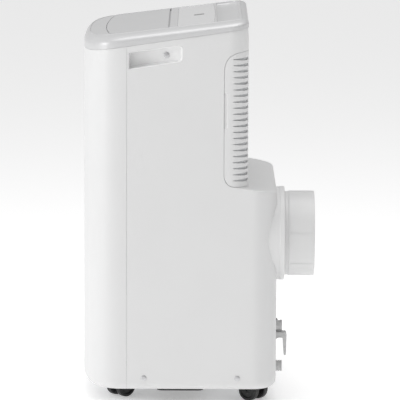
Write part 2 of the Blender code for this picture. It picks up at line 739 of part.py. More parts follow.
# Intake grille and filter.
def build_grille(white):
    outline = grille_outline(0.0005)
    grille = side_prism("intake_grille", outline, -FAR_X, FAR_X, white)
    low_end = GRILLE_BOTTOM_Z - 0.05
    outer = prism("grille_outer", upper_outline(0.0), flat(low_end), flat(FAR_Z))
    inner = prism("grille_inner", upper_outline(WALL), flat(low_end - 0.01), flat(FAR_Z + 0.01))
    combine(grille, outer, "INTERSECT")
    cut(grille, inner)
    low, high = SCALLOP_Z - SCALLOP_LENGTH / 2, SCALLOP_Z + SCALLOP_LENGTH / 2
    front, rear = GRILLE_FRONT_Y - 0.01, GRILLE_FRONT_Y + SCALLOP_REACH
    scallop = rounded_rectangle((front, low), (rear, high), (0.001, 0.004, 0.004, 0.001))
    face = HALF - SCALLOP_DEPTH
    for x_low, x_high in ((-FAR_X, -face), (face, FAR_X)):
        cut(grille, side_prism(f"cut_scallop_{x_low:.1f}", scallop, x_low, x_high))
    return cut(grille, prisms("cut_grille_slots", grille_slots()))


def grille_slots():
    """Each slot as an (y, z) wedge and its span along X: three spans to a row, with a rib between them."""
    edges = (-FAR_X, -SLOT_RIB_X, SLOT_RIB_X, FAR_X)
    tip, full = SLOT_TIP_HEIGHT / 2, SLOT_HEIGHT / 2
    slots = []
    for row in range(SLOT_COUNT):
        z = SLOT_FIRST_Z + row * SLOT_PITCH
        wedge = [(SLOT_START_Y, z - tip), (SLOT_FULL_Y, z - full), (0.2, z - full)]
        wedge += [(0.2, z + full), (SLOT_FULL_Y, z + full), (SLOT_START_Y, z + tip)]
        for start, end in zip(edges, edges[1:]):
            slots.append((wedge, start + SLOT_RIB_HALF, end - SLOT_RIB_HALF))
    return slots


def build_filter(dark):
    """A framed mesh filter that wraps round behind the grille, with shallow cells in its back."""
    low, high = GRILLE_BOTTOM_Z + 0.006, FILTER_TOP_Z
    face = WALL + GAP
    frame = prism("air_filter", upper_outline(face), flat(low), flat(high), dark)
    under, over = low - 0.01, high + 0.01
    middle = prism("cut_filter_middle", upper_outline(face + FILTER_THICKNESS), flat(under), flat(over))
    cut(frame, middle, block("cut_filter_front", (-FAR_X, FRONT_Y, under), (FAR_X, FILTER_FRONT_Y, over)))
    half = HALF - UPPER_CORNER_R - 0.008
    rear = UPPER_REAR_Y - face
    pockets = []
    columns, rows = 4, 3
    width, height = 2 * half / columns, (high - low) / rows
    border = FILTER_CELL_BORDER
    for column in range(columns):
        for row in range(rows):
            x, z = -half + column * width, low + row * height
            pocket_low = (x + border, rear - FILTER_CELL_DEPTH, z + border)
            pockets.append((pocket_low, (x + width - border, rear + 0.01, z + height - border)))
    return cut(frame, blocks("cut_filter_cells", pockets))


# Hose outlet.
def build_outlet(white):
    seat = COLLAR_R + GAP
    start, end = RING_START_Y, RING_END_Y
    profile = [(seat - 0.004, start), (RING_R, start), (RING_R, end - 0.003), (RING_R - 0.0009, end - 0.0009)]
    profile += [(RING_R - 0.003, end), (seat, end), (seat, end - SPIGOT_LENGTH - 0.002)]
    profile += [(seat - 0.004, end - SPIGOT_LENGTH - 0.002)]
    turned("outlet_ring", profile, along_y(OUTLET_X, 0.0, OUTLET_Z), white, sides=32)
    gap_y = end + 0.0008
    inner = COLLAR_R - COLLAR_WALL
    spigot = COLLAR_R - GAP
    profile = [(inner, end - SPIGOT_LENGTH), (spigot, end - SPIGOT_LENGTH), (spigot, gap_y), (COLLAR_R, gap_y)]
    profile += [(COLLAR_R, COLLAR_END_Y - 0.0008), (COLLAR_R - 0.0008, COLLAR_END_Y)]
    profile += [(inner, COLLAR_END_Y)]
    turned("hose_collar", profile, along_y(OUTLET_X, 0.0, OUTLET_Z), white, sides=32)


# Castors.
def build_castors(black, wheel):
    for name, x, y, heading in castor_places():
        turn = Matrix.Translation((x, y, 0.0)) @ Matrix.Rotation(math.radians(heading), 4, "Z")
        trail = -TRAIL if name in ("castor_front_right", "castor_rear_left") else TRAIL
        axle = turn @ Matrix.Translation((0.0, trail, WHEEL_R))
        build_hood(name, turn, axle, black)
        for index, offset in enumerate((-WHEEL_SPACING / 2, WHEEL_SPACING / 2)):
            place = axle @ Matrix.Translation((offset, 0, 0)) @ Matrix.Rotation(math.radians(90), 4, "Y")
            build_wheel(f"{name}_wheel_{index + 1}", place, wheel)


def axle_prism(name, outline, axle, half, finish=None):
    """An outline in the plane across the axle, carried along the axle by half to each side."""
    rings = [[axle @ Vector((x, y, z)) for y, z in outline] for x in (-half, half)]
    return loft(name, rings, finish)


def build_hood(name, turn, axle, black):
    """Swivel hood: a round cover over both wheels, a web between them, the stem and the axle."""
    inner = WHEEL_R + 0.0012
    half = (WHEEL_SPACING + WHEEL_WIDTH) / 2 + 0.0004
    web = (WHEEL_SPACING - WHEEL_WIDTH) / 2 - RUNNING_GAP
    outline = arc(0.0, 0.0, inner + HOOD_WALL, 28, 152, 8) + arc(0.0, 0.0, inner, 152, 28, 8)
    hood = axle_prism(name, outline, axle, half, black)
    outline = arc(0.0, 0.0, inner + 0.001, 30, 150, 6) + arc(0.0, 0.0, 0.010, 190, 350, 4)
    add(hood, axle_prism("web_" + name, outline, axle, web))
    neck, shoulder = web - 0.0005, WHEEL_R + inner + HOOD_WALL + 0.0005
    stem = [(0.0, WHEEL_R + 0.010), (neck, WHEEL_R + 0.010), (neck, shoulder), (0.0095, shoulder)]
    stem += [(0.0095, CASTOR_TOP_Z), (STEM_R, CASTOR_TOP_Z), (STEM_R, CASTOR_TOP_Z + 0.010)]
    stem += [(0.0, CASTOR_TOP_Z + 0.010)]
    add(hood, turned("stem_" + name, stem, turn, sides=12))
    reach = half - 0.0024
    place = axle @ Matrix.Translation((-reach, 0, 0)) @ Matrix.Rotation(math.radians(90), 4, "Y")
    return add(hood, turned("axle_" + name, disc(AXLE_R, 2 * reach), place, sides=10))


def build_wheel(name, place, finish):
    """A tyre and hub in one moulding, with a bore for the axle."""
    r, half = WHEEL_R, WHEEL_WIDTH / 2
    bore = AXLE_R + RUNNING_GAP
    profile = [(bore, -half), (r - 0.002, -half), (r, -half + 0.002), (r, half - 0.002), (r - 0.002, half)]
    profile += [(bore, half)]
    return turned(name, profile, place, finish, sides=16)


# Inside: cold side above the tray, hot side below it.
def coil(name, corners, fins_along, metal):
    """A finned coil block: fins as a comb on one face."""
    (x0, y0, z0), (x1, y1, z1) = corners
    if fins_along == "x":
        start, end, back, face = x0, x1, y0, y1
    else:
        start, end, back, face = y0, y1, x1, x0
    count = int((end - start) / FIN_PITCH)
    step = (end - start) / count
    depth = (face - back) * 0.35
    points = []
    for i in range(count):
        a = start + i * step
        points += [(a, face), (a + step * 0.6, face), (a + step * 0.6, face - depth), (a + step, face - depth)]
    points += [(end, back), (start, back)]
    if fins_along == "y":
        points = [(y, x) for x, y in points]
    return prism(name, points, flat(z0), flat(z1), metal)


def fan_wheel(name, fan, axis_place, shaft, blades, plastic):
    """A drum fan: back disc with hub and shaft, blades round the edge and a front ring."""
    radius, width = fan[3], fan[4]
    profile = [(0.0, -shaft), (SHAFT_R, -shaft), (SHAFT_R, -0.002), (radius, -0.002)]
    profile += [(radius, 0.001), (0.012, 0.001), (0.010, 0.012), (0.0, 0.012)]
    wheel = turned(name, profile, axis_place, plastic, sides=20)
    ring = [(radius - 0.006, width - 0.003), (radius, width - 0.003), (radius, width), (radius - 0.006, width)]
    front = turned("ring_" + name, ring, axis_place, sides=20)
    bm = bmesh.new()
    for i in range(blades):
        turn = Matrix.Rotation(2 * math.pi * i / blades, 4, "Z")
        lean = Matrix.Rotation(math.radians(35), 4, "Z")
        size = Matrix.Diagonal((0.010, 0.0016, width - 0.001, 1.0))
        at = turn @ Matrix.Translation((radius - 0.0065, 0, (width - 0.002) / 2)) @ lean @ size
        bmesh.ops.create_cube(bm, size=1.0, matrix=axis_place @ at)
    spokes = finish_mesh("blades_" + name, bm, None)
    return add(wheel, front, spokes)


def spiral(cx, cy, start_r, end_r, start, end, steps=20):
    """Points on a growing spiral, angles in degrees."""
    points = []
    for i in range(steps + 1):
        share = i / steps
        angle = math.radians(start + (end - start) * share)
        radius = start_r + (end_r - start_r) * share
        points.append((cx + radius * math.cos(angle), cy + radius * math.sin(angle)))
    return points


def build_cold_side(metal, plastic, dark):
    coil("evaporator_coil", EVAPORATOR, "x", metal)
    x, y, z, radius, width = COOL_FAN
    back = y + width / 2
    place = Matrix.Translation((x, back, z)) @ Matrix.Rotation(math.radians(90), 4, "X")
    fan_wheel("evaporator_fan", COOL_FAN, place, 0.024, 9, plastic)
    top = COLD_TOP_Z
    outside = spiral(x, z, radius + 0.008, radius + 0.034, 150, 390)
    wide = THROAT_WIDTH / 2 - 0.004
    outside += [(wide, top - 0.032), (wide, top), (-wide, top), (-wide, top - 0.032)]
    inside = spiral(x, z, radius + 0.006, radius + 0.032, 150, 390)
    wide -= SCROLL_WALL
    inside += [(wide, top - 0.032), (wide, top + 0.02), (-wide, top + 0.02), (-wide, top - 0.032)]
    low, high = y - width / 2 - 0.008, back + 0.008
    scroll = front_prism("evaporator_scroll", outside, low, high, plastic)
    cut(scroll, front_prism("cut_cool_scroll", inside, low + SCROLL_WALL, high - SCROLL_WALL))
    cut(scroll, turned("cut_cool_inlet", disc(0.060, 0.02), along_y(x, high - 0.01, z), sides=24))
    motor_y = back + 0.012
    bore = [(SHAFT_R + 0.0005, 0.0), (0.036, 0.0), (0.038, 0.003), (0.038, 0.045), (0.034, 0.048)]
    bore += [(0.0, 0.048), (0.0, 0.014), (SHAFT_R + 0.0005, 0.014)]
    turned("evaporator_fan_motor", bore, along_y(x, motor_y, z), dark, sides=16)
    outline = upper_outline(0.006)
    tray = prism("partition_tray", outline, flat(TRAY_Z), flat(TRAY_Z + 0.012), plastic)
    cut(tray, prism("cut_tray", upper_outline(0.009), flat(TRAY_Z + 0.003), flat(TRAY_Z + 0.02)))
    corner_x = 0.0475 - HALF
    cut(tray, block("cut_tray_corner", (-FAR_X, -0.03, TRAY_Z - 0.05), (corner_x, 0.0, TRAY_Z + 0.05)))
    block("control_box", (0.0115 - HALF, -0.105, 0.42), (0.0515 - HALF, 0.010, 0.60), plastic)
    stand = along_z(HALF - 0.0305, -0.05, TRAY_Z + 0.003 + GAP)
    turned("run_capacitor", disc(0.017, 0.06), stand, metal, sides=20)
    high = RIM_Z - 0.001
    block("flap_motor", (HALF - 0.0615, -0.078, high - 0.0205), (HALF - 0.0415, -0.058, high), dark)


def build_hot_side(metal, plastic, dark, copper):
    coil("condenser_coil", CONDENSER, "y", metal)
    x, y, z, radius, width = HEAT_FAN
    back = x + width / 2
    place = Matrix.Translation((back, y, z)) @ Matrix.Rotation(math.radians(-90), 4, "Y")
    fan_wheel("condenser_fan", HEAT_FAN, place, 0.026, 9, plastic)
    outside = spiral(y, z, radius + 0.058, radius + 0.008, 90, 360)
    outside += [(0.100, z + 0.004), (0.100, z + radius + 0.058)]
    inside = spiral(y, z, radius + 0.056, radius + 0.006, 90, 360)
    inside += [(0.14, z + 0.006), (0.14, z + radius + 0.056)]
    low, high = x - width / 2 - 0.010, back + 0.010
    scroll = side_prism("condenser_scroll", outside, low, high, plastic)
    cut(scroll, side_prism("cut_heat_scroll", inside, low + SCROLL_WALL, high - SCROLL_WALL))
    cut(scroll, turned("cut_heat_inlet", disc(0.052, 0.02), along_x(low - 0.01, y, z), sides=24))
    cut(scroll, turned("cut_heat_shaft", disc(0.008, 0.02), along_x(high - 0.01, y, z), sides=16))
    bore = [(SHAFT_R + 0.0005, 0.0), (0.034, 0.0), (0.036, 0.003), (0.036, 0.030), (0.032, 0.033)]
    bore += [(0.0, 0.033), (0.0, 0.016), (SHAFT_R + 0.0005, 0.016)]
    turned("condenser_fan_motor", bore, along_x(high + 0.002, y, z), dark, sides=16)
    floor = BOTTOM_Z + PAN_FLOOR + GAP
    x, y, radius, height = COMPRESSOR
    body = [(0.0, 0.0), (0.045, 0.0), (0.045, 0.008), (radius - 0.006, 0.014), (radius, 0.026)]
    body += [(radius, height - 0.03), (radius - 0.012, height - 0.008), (radius - 0.03, height), (0.0, height)]
    turned("compressor", body, along_z(x, y, floor), dark, sides=20)
    x, y, radius, height = ACCUMULATOR
    body = [(0.0, 0.0), (0.006, 0.0), (radius, 0.014), (radius, height - 0.014), (0.006, height), (0.0, height)]
    turned("accumulator", body, along_z(x, y, floor + 0.045), dark, sides=16)
    pipe("discharge_pipe", discharge_route(), 0.004, copper)


def discharge_route():
    """From the compressor's top, up and over to the condenser's upper end."""
    x, y, _, height = COMPRESSOR
    start_z = BOTTOM_Z + PAN_FLOOR + height + 0.002
    over_z = start_z + 0.075
    return [(x, y, start_z), (x, y, start_z + 0.05), (x + 0.03, y, over_z), (-0.01, y, over_z)]


def pipe(name, points, radius, finish):
    """A round tube along a smooth path."""
    curve = bpy.data.curves.new(name, "CURVE")
    curve.dimensions = "3D"
    curve.bevel_depth = radius
    curve.bevel_resolution = 2
    curve.use_fill_caps = True
    line = curve.splines.new("POLY")
    smooth = []
    count = len(points)
    for i in range(count - 1):
        a, b = Vector(points[max(i - 1, 0)]), Vector(points[i])
        c, d = Vector(points[i + 1]), Vector(points[min(i + 2, count - 1)])
        for step in range(4):
            t = step / 4
            bend, twist = 2 * a - 5 * b + 4 * c - d, 3 * b - a - 3 * c + d
            smooth.append(0.5 * (2 * b + (c - a) * t + bend * t**2 + twist * t**3))
    smooth.append(Vector(points[-1]))
    line.points.add(len(smooth) - 1)
    for target, point in zip(line.points, smooth):
        target.co = (*point, 1.0)
    obj = bpy.data.objects.new(name, curve)
    curve.materials.append(finish)
    bpy.context.scene.collection.objects.link(obj)
    return obj


def build():
    clear_scene()
    white = material("white_plastic", (0.80, 0.80, 0.80), 0.42)
    silver = material("silver_paint", (0.58, 0.58, 0.59), 0.38, 0.2)
    glossy = material("glossy_panel", (0.66, 0.66, 0.67), 0.15)
    smoked = material("smoked_window", (0.02, 0.02, 0.022), 0.1)
    grey = material("grey_plastic", (0.36, 0.37, 0.38), 0.5)
    black = material("black_plastic", (0.012, 0.012, 0.013), 0.5)
    wheel = material("wheel_plastic", (0.02, 0.02, 0.021), 0.5)
    steel = material("bare_steel", (0.55, 0.55, 0.56), 0.35, 1.0)
    fins = material("fin_aluminium", (0.72, 0.73, 0.74), 0.4, 1.0)
    enamel = material("black_enamel", (0.02, 0.02, 0.02), 0.3)
    copper = material("copper", (0.72, 0.38, 0.24), 0.3, 1.0)
    build_front_cover(white)
    build_rear_housing(white)
    build_handle_cup(1, white)
    build_handle_cup(-1, white)
    build_screws(steel)
    build_base_pan(grey)
    build_skid(black)
    build_cord_hook(white)
    build_drain("upper_drain_plug", UPPER_DRAIN_Z, 1, white)
    build_drain("lower_drain_cap", LOWER_DRAIN_Z, 2, white)
    build_gland(black)
    build_rim(silver)
    build_deck(silver)
    build_panel(glossy, smoked)
    build_flap(silver)
    build_vanes(grey)
    build_grille(white)
    build_filter(grey)
    build_outlet(white)
    build_castors(black, wheel)
    build_cold_side(fins, grey, enamel)
    build_hot_side(fins, grey, enamel, copper)


build()
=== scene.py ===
import bmesh
import bpy
import numpy as np
from mathutils import Matrix, Vector


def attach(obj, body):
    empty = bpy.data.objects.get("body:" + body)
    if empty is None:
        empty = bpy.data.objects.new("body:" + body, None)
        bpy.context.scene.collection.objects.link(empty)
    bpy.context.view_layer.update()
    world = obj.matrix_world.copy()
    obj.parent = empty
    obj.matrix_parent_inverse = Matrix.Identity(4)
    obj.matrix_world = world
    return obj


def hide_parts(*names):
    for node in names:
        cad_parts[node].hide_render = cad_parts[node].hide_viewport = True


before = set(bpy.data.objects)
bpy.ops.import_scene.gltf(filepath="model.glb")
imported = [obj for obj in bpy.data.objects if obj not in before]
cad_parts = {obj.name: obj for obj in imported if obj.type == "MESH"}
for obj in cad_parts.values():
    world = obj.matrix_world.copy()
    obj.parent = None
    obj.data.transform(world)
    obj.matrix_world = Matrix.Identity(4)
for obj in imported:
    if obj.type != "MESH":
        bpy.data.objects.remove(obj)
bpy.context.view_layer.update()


# ---------------------------------------------------------------------------
# Front cover and rear housing: two white moulded shells, 2.5 mm thick, that
# meet at an upright seam. The front one is bowed, the rear one steps out at a
# sloping shoulder. Both have a soft lower edge and hook over the base pan.

HALF_WIDTH = 0.2175
FRONT_Y, SEAM_Y = -0.211, -0.129
BOW_POWER = 3.1
UPPER_REAR_Y, UPPER_CORNER = 0.0895, 0.034
LOWER_REAR_Y, LOWER_CORNER = 0.1425, 0.045
SHELL_WALL = 0.0025
FOOT_Z, FOOT_ROUND = 0.027, 0.015
SEAM_GAP = 0.0003
SHOULDER_ROUND, SHOULDER_HOLLOW = 0.006, 0.003
LEDGE_DROP, LEDGE_LEAN = 0.0165, 0.0011
LEDGE_FRONT_Y, LEDGE_BLEND = -0.034, 0.012
TOP_Z, TOP_RISE = 0.6903, 0.1216
RIM_Z, RIM_RISE = 0.6715, 0.150
SHOULDER_Z, SHOULDER_FALL = 0.4068, 0.132
SIDE_COLUMNS, CORNER_COLUMNS, BACK_COLUMNS, BOW_COLUMNS = 12, 15, 14, 111
BACK_COUNT = 2 * SIDE_COLUMNS + 2 * CORNER_COLUMNS + BACK_COLUMNS
SHARP_ANGLE = np.radians(34.0)


def top_height(y):
    """Plane of the deck, which climbs to the rear."""
    return TOP_Z + TOP_RISE * y


def rim_height(y):
    """Plane where the shells end and the rim starts, a little steeper than the deck."""
    return RIM_Z + RIM_RISE * y


def shoulder_height(y):
    """Plane of the shoulder, which falls to the rear."""
    return SHOULDER_Z - SHOULDER_FALL * y


def stack(x, y, z):
    """Points from three arrays of coordinates that broadcast together."""
    return np.stack(np.broadcast_arrays(x, y, z), axis=-1).astype(float)


def plan(rear_y, corner, inset=0.0, front_inset=None, rear_inset=None):
    """x and y round the body: side, quarter circle, back, quarter circle, side, then the bowed front.

    The front is |x/a|^p + |y/b|^p = 1. Every point is base - inset * outward, so the inset may be one
    number or one for each point. It may differ in front and behind, where it then moves y alone.
    """
    front_inset = inset if front_inset is None else front_inset
    rear_inset = inset if rear_inset is None else rear_inset
    sweep = np.linspace(0.0, np.pi / 2, CORNER_COLUMNS)
    bow = np.linspace(np.pi, 2 * np.pi, BOW_COLUMNS)[1:-1]
    side = np.linspace(SEAM_Y, UPPER_REAR_Y - UPPER_CORNER, SIDE_COLUMNS)
    across = np.linspace(1.0, -1.0, BACK_COLUMNS + 2)[1:-1] * (HALF_WIDTH - corner)
    cos, sin = np.cos(sweep), np.sin(sweep)
    one, level = np.ones(SIDE_COLUMNS), np.ones(BACK_COLUMNS)
    bow_x = np.sign(np.cos(bow)) * np.abs(np.cos(bow)) ** (2 / BOW_POWER)
    bow_y = np.abs(np.sin(bow)) ** (2 / BOW_POWER)
    corner_x, corner_y = HALF_WIDTH - corner + corner * cos, rear_y - corner + corner * sin
    x = [HALF_WIDTH * one, corner_x, across, -corner_x[::-1], -HALF_WIDTH * one, HALF_WIDTH * bow_x]
    y = [side, corner_y, rear_y * level, corner_y[::-1], side[::-1], SEAM_Y - (SEAM_Y - FRONT_Y) * bow_y]
    out_x = np.concatenate([one, cos, 0 * level, -cos[::-1], -one, bow_x])
    behind = np.concatenate([0 * one, sin, level, sin[::-1], 0 * one, 0 * bow_y])
    before = np.concatenate([np.zeros(BACK_COUNT), bow_y])
    x = np.concatenate(x) - inset * out_x
    return x, np.concatenate(y) - rear_inset * behind + front_inset * before


def upper_plan(inset=0.0):
    """The plan above the shoulder."""
    return plan(UPPER_REAR_Y, UPPER_CORNER, inset)


def lower_plan(inset=0.0):
    """The plan below the shoulder, further back at the rear."""
    return plan(LOWER_REAR_Y, LOWER_CORNER, inset)


def cabinet_rows(inset, top_drop):
    """Rows of points up a cabinet skin that lies inset behind the outer face.

    Foot: a quarter circle out from under the body. Wall: straight up. Shoulder: a convex quarter arc on
    the way from the lower plan to the upper one, a sloping flat, and a hollow quarter arc into the upper
    wall. The arcs shrink to nothing where the two plans meet. The last band leans in towards the rim.
    """
    rows = []
    for turn in np.linspace(0.0, np.pi / 2, 8):
        x, y = lower_plan(inset + FOOT_ROUND * (1 - np.sin(turn)))
        rows.append(stack(x, y, FOOT_Z + FOOT_ROUND * (1 - np.cos(turn))))
    low_x, low_y = lower_plan(inset)
    high_x, high_y = upper_plan(inset)
    span = np.hypot(high_x - low_x, high_y - low_y)
    length = np.maximum(span, 1e-9)
    way_x, way_y = (high_x - low_x) / length, (high_y - low_y) / length
    convex, hollow = np.minimum(SHOULDER_ROUND, 0.4 * span), np.minimum(SHOULDER_HOLLOW, 0.3 * span)
    wall_foot = FOOT_Z + FOOT_ROUND
    wall_end = shoulder_height(low_y) - inset - convex
    for share in np.linspace(0.0, 1.0, 12)[1:]:
        rows.append(stack(low_x, low_y, wall_foot + (wall_end - wall_foot) * share))
    for turn in np.linspace(0.0, np.pi / 2, 7)[1:]:
        along = convex * (1 - np.cos(turn))
        x, y = low_x + way_x * along, low_y + way_y * along
        rows.append(stack(x, y, shoulder_height(y) - inset - convex * (1 - np.sin(turn))))
    for turn in np.linspace(0.0, np.pi / 2, 5):
        back = hollow * (1 - np.sin(turn))
        x, y = high_x - way_x * back, high_y - way_y * back
        rows.append(stack(x, y, shoulder_height(y) - inset + hollow * (1 - np.cos(turn))))
    start = shoulder_height(high_y) - inset + hollow
    end = rim_height(high_y) - top_drop
    shares = np.concatenate([np.linspace(0.0, 0.93, 12)[1:], np.linspace(0.93, 1.0, 6)[1:]])
    fade = np.clip((high_y - LEDGE_FRONT_Y) / LEDGE_BLEND, 0.0, 1.0)
    for share in shares:
        z = start + (end - start) * share
        lean = LEDGE_LEAN * fade * np.clip((z - end + LEDGE_DROP) / LEDGE_DROP, 0.0, 1.0)
        x, y = upper_plan(inset + lean)
        rows.append(stack(x, y, z))
    return np.array(rows)


def quads(rows, columns, round_rows=False, round_columns=False):
    """Faces between neighbours of a grid whose points are numbered row by row."""
    i = np.arange(rows if round_rows else rows - 1)[:, None]
    j = np.arange(columns if round_columns else columns - 1)[None, :]
    down, right = (i + 1) % rows, (j + 1) % columns
    corners = (i * columns + j, i * columns + right, down * columns + right, down * columns + j)
    return np.stack(corners, axis=-1).reshape(-1, 4)


def piece(name, points, faces):
    """A closed mesh object: doubles merged, faces turned outwards, smooth except at sharp edges."""
    mesh = bpy.data.meshes.new(name)
    mesh.from_pydata(np.asarray(points).reshape(-1, 3), [], [list(face) for face in faces])
    work = bmesh.new()
    work.from_mesh(mesh)
    bmesh.ops.remove_doubles(work, verts=work.verts, dist=1e-5)
    bmesh.ops.dissolve_degenerate(work, edges=work.edges, dist=1e-6)
    bmesh.ops.recalc_face_normals(work, faces=work.faces)
    work.to_mesh(mesh)
    work.free()
    mesh.shade_smooth()
    mesh.set_sharp_from_angle(angle=SHARP_ANGLE)
    made = bpy.data.objects.new(name, mesh)
    bpy.context.scene.collection.objects.link(made)
    return made


def shell(name, outer, inner, closed=False):
    """A wall between two matching grids: outer rows up, inner rows down, end columns joined across."""
    rows, columns = outer.shape[:2]
    points = np.concatenate([outer, inner[::-1]])
    faces = [quads(2 * rows, columns, round_rows=True, round_columns=closed)]
    if not closed:
        i = np.arange(rows - 1)
        strip = np.stack([i, i + 1, 2 * rows - 2 - i, 2 * rows - 1 - i], axis=-1) * columns
        faces += [strip, strip + columns - 1]
    return piece(name, points, np.concatenate(faces))


def loft(name, rings):
    """A solid through closed rings of equally many points, with a flat face on the first and last."""
    rings = np.asarray(rings, float)
    rows, columns = rings.shape[:2]
    faces = quads(rows, columns, round_columns=True).tolist()
    faces += [list(range(columns)), list(range((rows - 1) * columns, rows * columns))]
    return piece(name, rings, faces)


def softened(corners, reach, steps=5):
    """An outline whose corners are short parabolas: (1-t)^2 a + 2t(1-t) corner + t^2 b.

    The ends a and b lie a reach along each edge from the corner, or half-way along a shorter edge.
    """
    corners = np.asarray(corners, float)
    reach = np.broadcast_to(reach, len(corners))[:, None]
    ends = []
    for other in (np.roll(corners, 1, axis=0), np.roll(corners, -1, axis=0)):
        way = other - corners
        length = np.maximum(np.linalg.norm(way, axis=1, keepdims=True), 1e-9)
        ends.append(corners + way * np.minimum(reach / length, 0.5))
    t = np.linspace(0.0, 1.0, steps + 1)[None, :, None]
    before, after = ends[0][:, None], ends[1][:, None]
    bend = (1 - t) ** 2 * before + 2 * t * (1 - t) * corners[:, None] + t**2 * after
    return bend.reshape(-1, corners.shape[1])


def side_prism(name, outline, x_low, x_high):
    """A (y, z) outline carried along X."""
    return loft(name, [stack(x, outline[:, 0], outline[:, 1]) for x in (x_low, x_high)])


def plan_prism(name, outline, low, high):
    """An (x, y) outline carried up between two heights, each a function of y."""
    x, y = outline[:, 0], outline[:, 1]
    return loft(name, [stack(x, y, height(y)) for height in (low, high)])


def level_at(z):
    """A height function that is the same everywhere."""
    return lambda y: 0 * y + z


def box(name, low, high):
    """A block between two opposite corners."""
    corners = np.array([(low[0], low[1]), (high[0], low[1]), (high[0], high[1]), (low[0], high[1])])
    return plan_prism(name, corners, level_at(low[2]), level_at(high[2]))


def turned(name, profile, centre, axis, sides=64, round_rows=False):
    """A (radius, height) profile turned about an axis through centre: c + h a + r (u cos t + v sin t)."""
    profile = np.asarray(profile, float)
    axis = np.asarray(axis, float) / np.linalg.norm(axis)
    u = np.cross(axis, (0.0, 0.0, 1.0) if abs(axis[2]) < 0.9 else (1.0, 0.0, 0.0))
    u /= np.linalg.norm(u)
    v = np.cross(axis, u)
    angle = np.linspace(0.0, 2 * np.pi, sides, endpoint=False)[:, None]
    spokes = u * np.cos(angle) + v * np.sin(angle)
    points = np.asarray(centre, float) + profile[:, None, 1:] * axis + profile[:, None, :1] * spokes
    return piece(name, points, quads(len(profile), sides, round_rows, True))


def carve(solid, cutters, operation="DIFFERENCE"):
    """The solid after each cutter has been taken away or joined on; the cutters are then removed."""
    for cutter in cutters:
        step = solid.modifiers.new(cutter.name, "BOOLEAN")
        step.operation, step.solver, step.object = operation, "EXACT", cutter
    bpy.context.view_layer.update()
    ready = solid.evaluated_get(bpy.context.evaluated_depsgraph_get())
    mesh = bpy.data.meshes.new_from_object(ready)
    solid.modifiers.clear()
    solid.data = mesh
    for cutter in cutters:
        bpy.data.objects.remove(cutter)
    work = bmesh.new()
    work.from_mesh(mesh)
    bmesh.ops.remove_doubles(work, verts=work.verts, dist=1e-6)
    work.to_mesh(mesh)
    work.free()
    mesh.shade_smooth()
    mesh.set_sharp_from_angle(angle=SHARP_ANGLE)
    return solid


def eased(solid, width, segments=2, angle=40.0):
    """Edges over the angle get a small radius; the large flats keep their own normals."""
    bevel = solid.modifiers.new("eased_edges", "BEVEL")
    bevel.width, bevel.segments, bevel.limit_method = width, segments, "ANGLE"
    bevel.angle_limit = np.radians(angle)
    bevel.use_clamp_overlap = True
    return even(solid)


def even(solid):
    """Normals weighted by face area, so that a flat next to a radius stays flat."""
    solid.modifiers.new("even_normals", "WEIGHTED_NORMAL").keep_sharp = True
    return solid


class Signal:
    """A number that varies over a surface. Arithmetic on it adds Math nodes to its finish."""

    def __init__(self, finish, socket):
        self.finish, self.socket = finish, socket

    def math(self, operation, first, second):
        return self.finish.node("ShaderNodeMath", {"operation": operation}, {0: first, 1: second})

    def __add__(self, other):
        return self.math("ADD", self, other)

    def __sub__(self, other):
        return self.math("SUBTRACT", self, other)

    def __rsub__(self, other):
        return self.math("SUBTRACT", other, self)

    def __mul__(self, other):
        return self.math("MULTIPLY", self, other)

    __radd__, __rmul__ = __add__, __mul__


class Finish:
    """A material being made: node() adds any node, paint() sets or feeds the main shader's sockets."""

    def __init__(self, name, **fixed):
        self.material = bpy.data.materials.new(name)
        self.material.use_nodes = True
        self.tree = self.material.node_tree
        self.shader = self.tree.nodes["Principled BSDF"]
        self.place = Signal(self, self.tree.nodes.new("ShaderNodeTexCoord").outputs["Object"])
        self.paint(**fixed)

    def node(self, kind, settings, inputs, output=0):
        made = self.tree.nodes.new(kind)
        for key, value in settings.items():
            setattr(made, key, value)
        for key, value in inputs.items():
            self.feed(made.inputs[key], value)
        return Signal(self, made.outputs[output])

    def feed(self, socket, value):
        if isinstance(value, Signal):
            self.tree.links.new(value.socket, socket)
        else:
            socket.default_value = value

    def paint(self, **values):
        for key, value in values.items():
            self.feed(self.shader.inputs[key.replace("_", " ").title()], value)

    def noise(self, scale, detail=2.0):
        """Cloudy noise from 0 to 1, fixed to the piece."""
        inputs = {"Vector": self.place, "Scale": scale, "Detail": detail}
        return self.node("ShaderNodeTexNoise", {}, inputs)

    def between(self, mask, first, second):
        """Colour that runs from the first to the second with the mask."""
        inputs = {0: mask, 6: (*first, 1.0), 7: (*second, 1.0)}
        return self.node("ShaderNodeMix", {"data_type": "RGBA"}, inputs, 2)

    def bump(self, height, distance):
        """Relief of the given distance in metres."""
        inputs = {"Height": height, "Distance": distance}
        self.paint(normal=self.node("ShaderNodeBump", {}, inputs))


def toned(colour, factor):
    """The colour made lighter or darker, no lighter than white."""
    return tuple(min(1.0, factor * channel) for channel in colour)


def moulded(name, colour, roughness, grain=1900.0, relief=0.00002, drift=0.03):
    """Moulded plastic: spark-eroded grain in relief, faint cloudy colour and gloss."""
    made = Finish(name)
    cloud, speck = made.noise(9.0), made.noise(grain, 1.0)
    shade = 0.6 * cloud + 0.4 * speck
    made.paint(base_color=made.between(shade, toned(colour, 1 - drift), toned(colour, 1 + drift)))
    made.paint(roughness=roughness - 0.05 + 0.10 * made.noise(240.0))
    made.bump(speck, relief)
    return made.material


def dress(solid, finish, body, slot, *nodes):
    """Gives a finished piece its material and body and hides the parts it stands for; the slot argument is
    not used.
    """
    solid.data.materials.clear()
    solid.data.materials.append(finish)
    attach(solid, body)
    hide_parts(*nodes)
    return solid


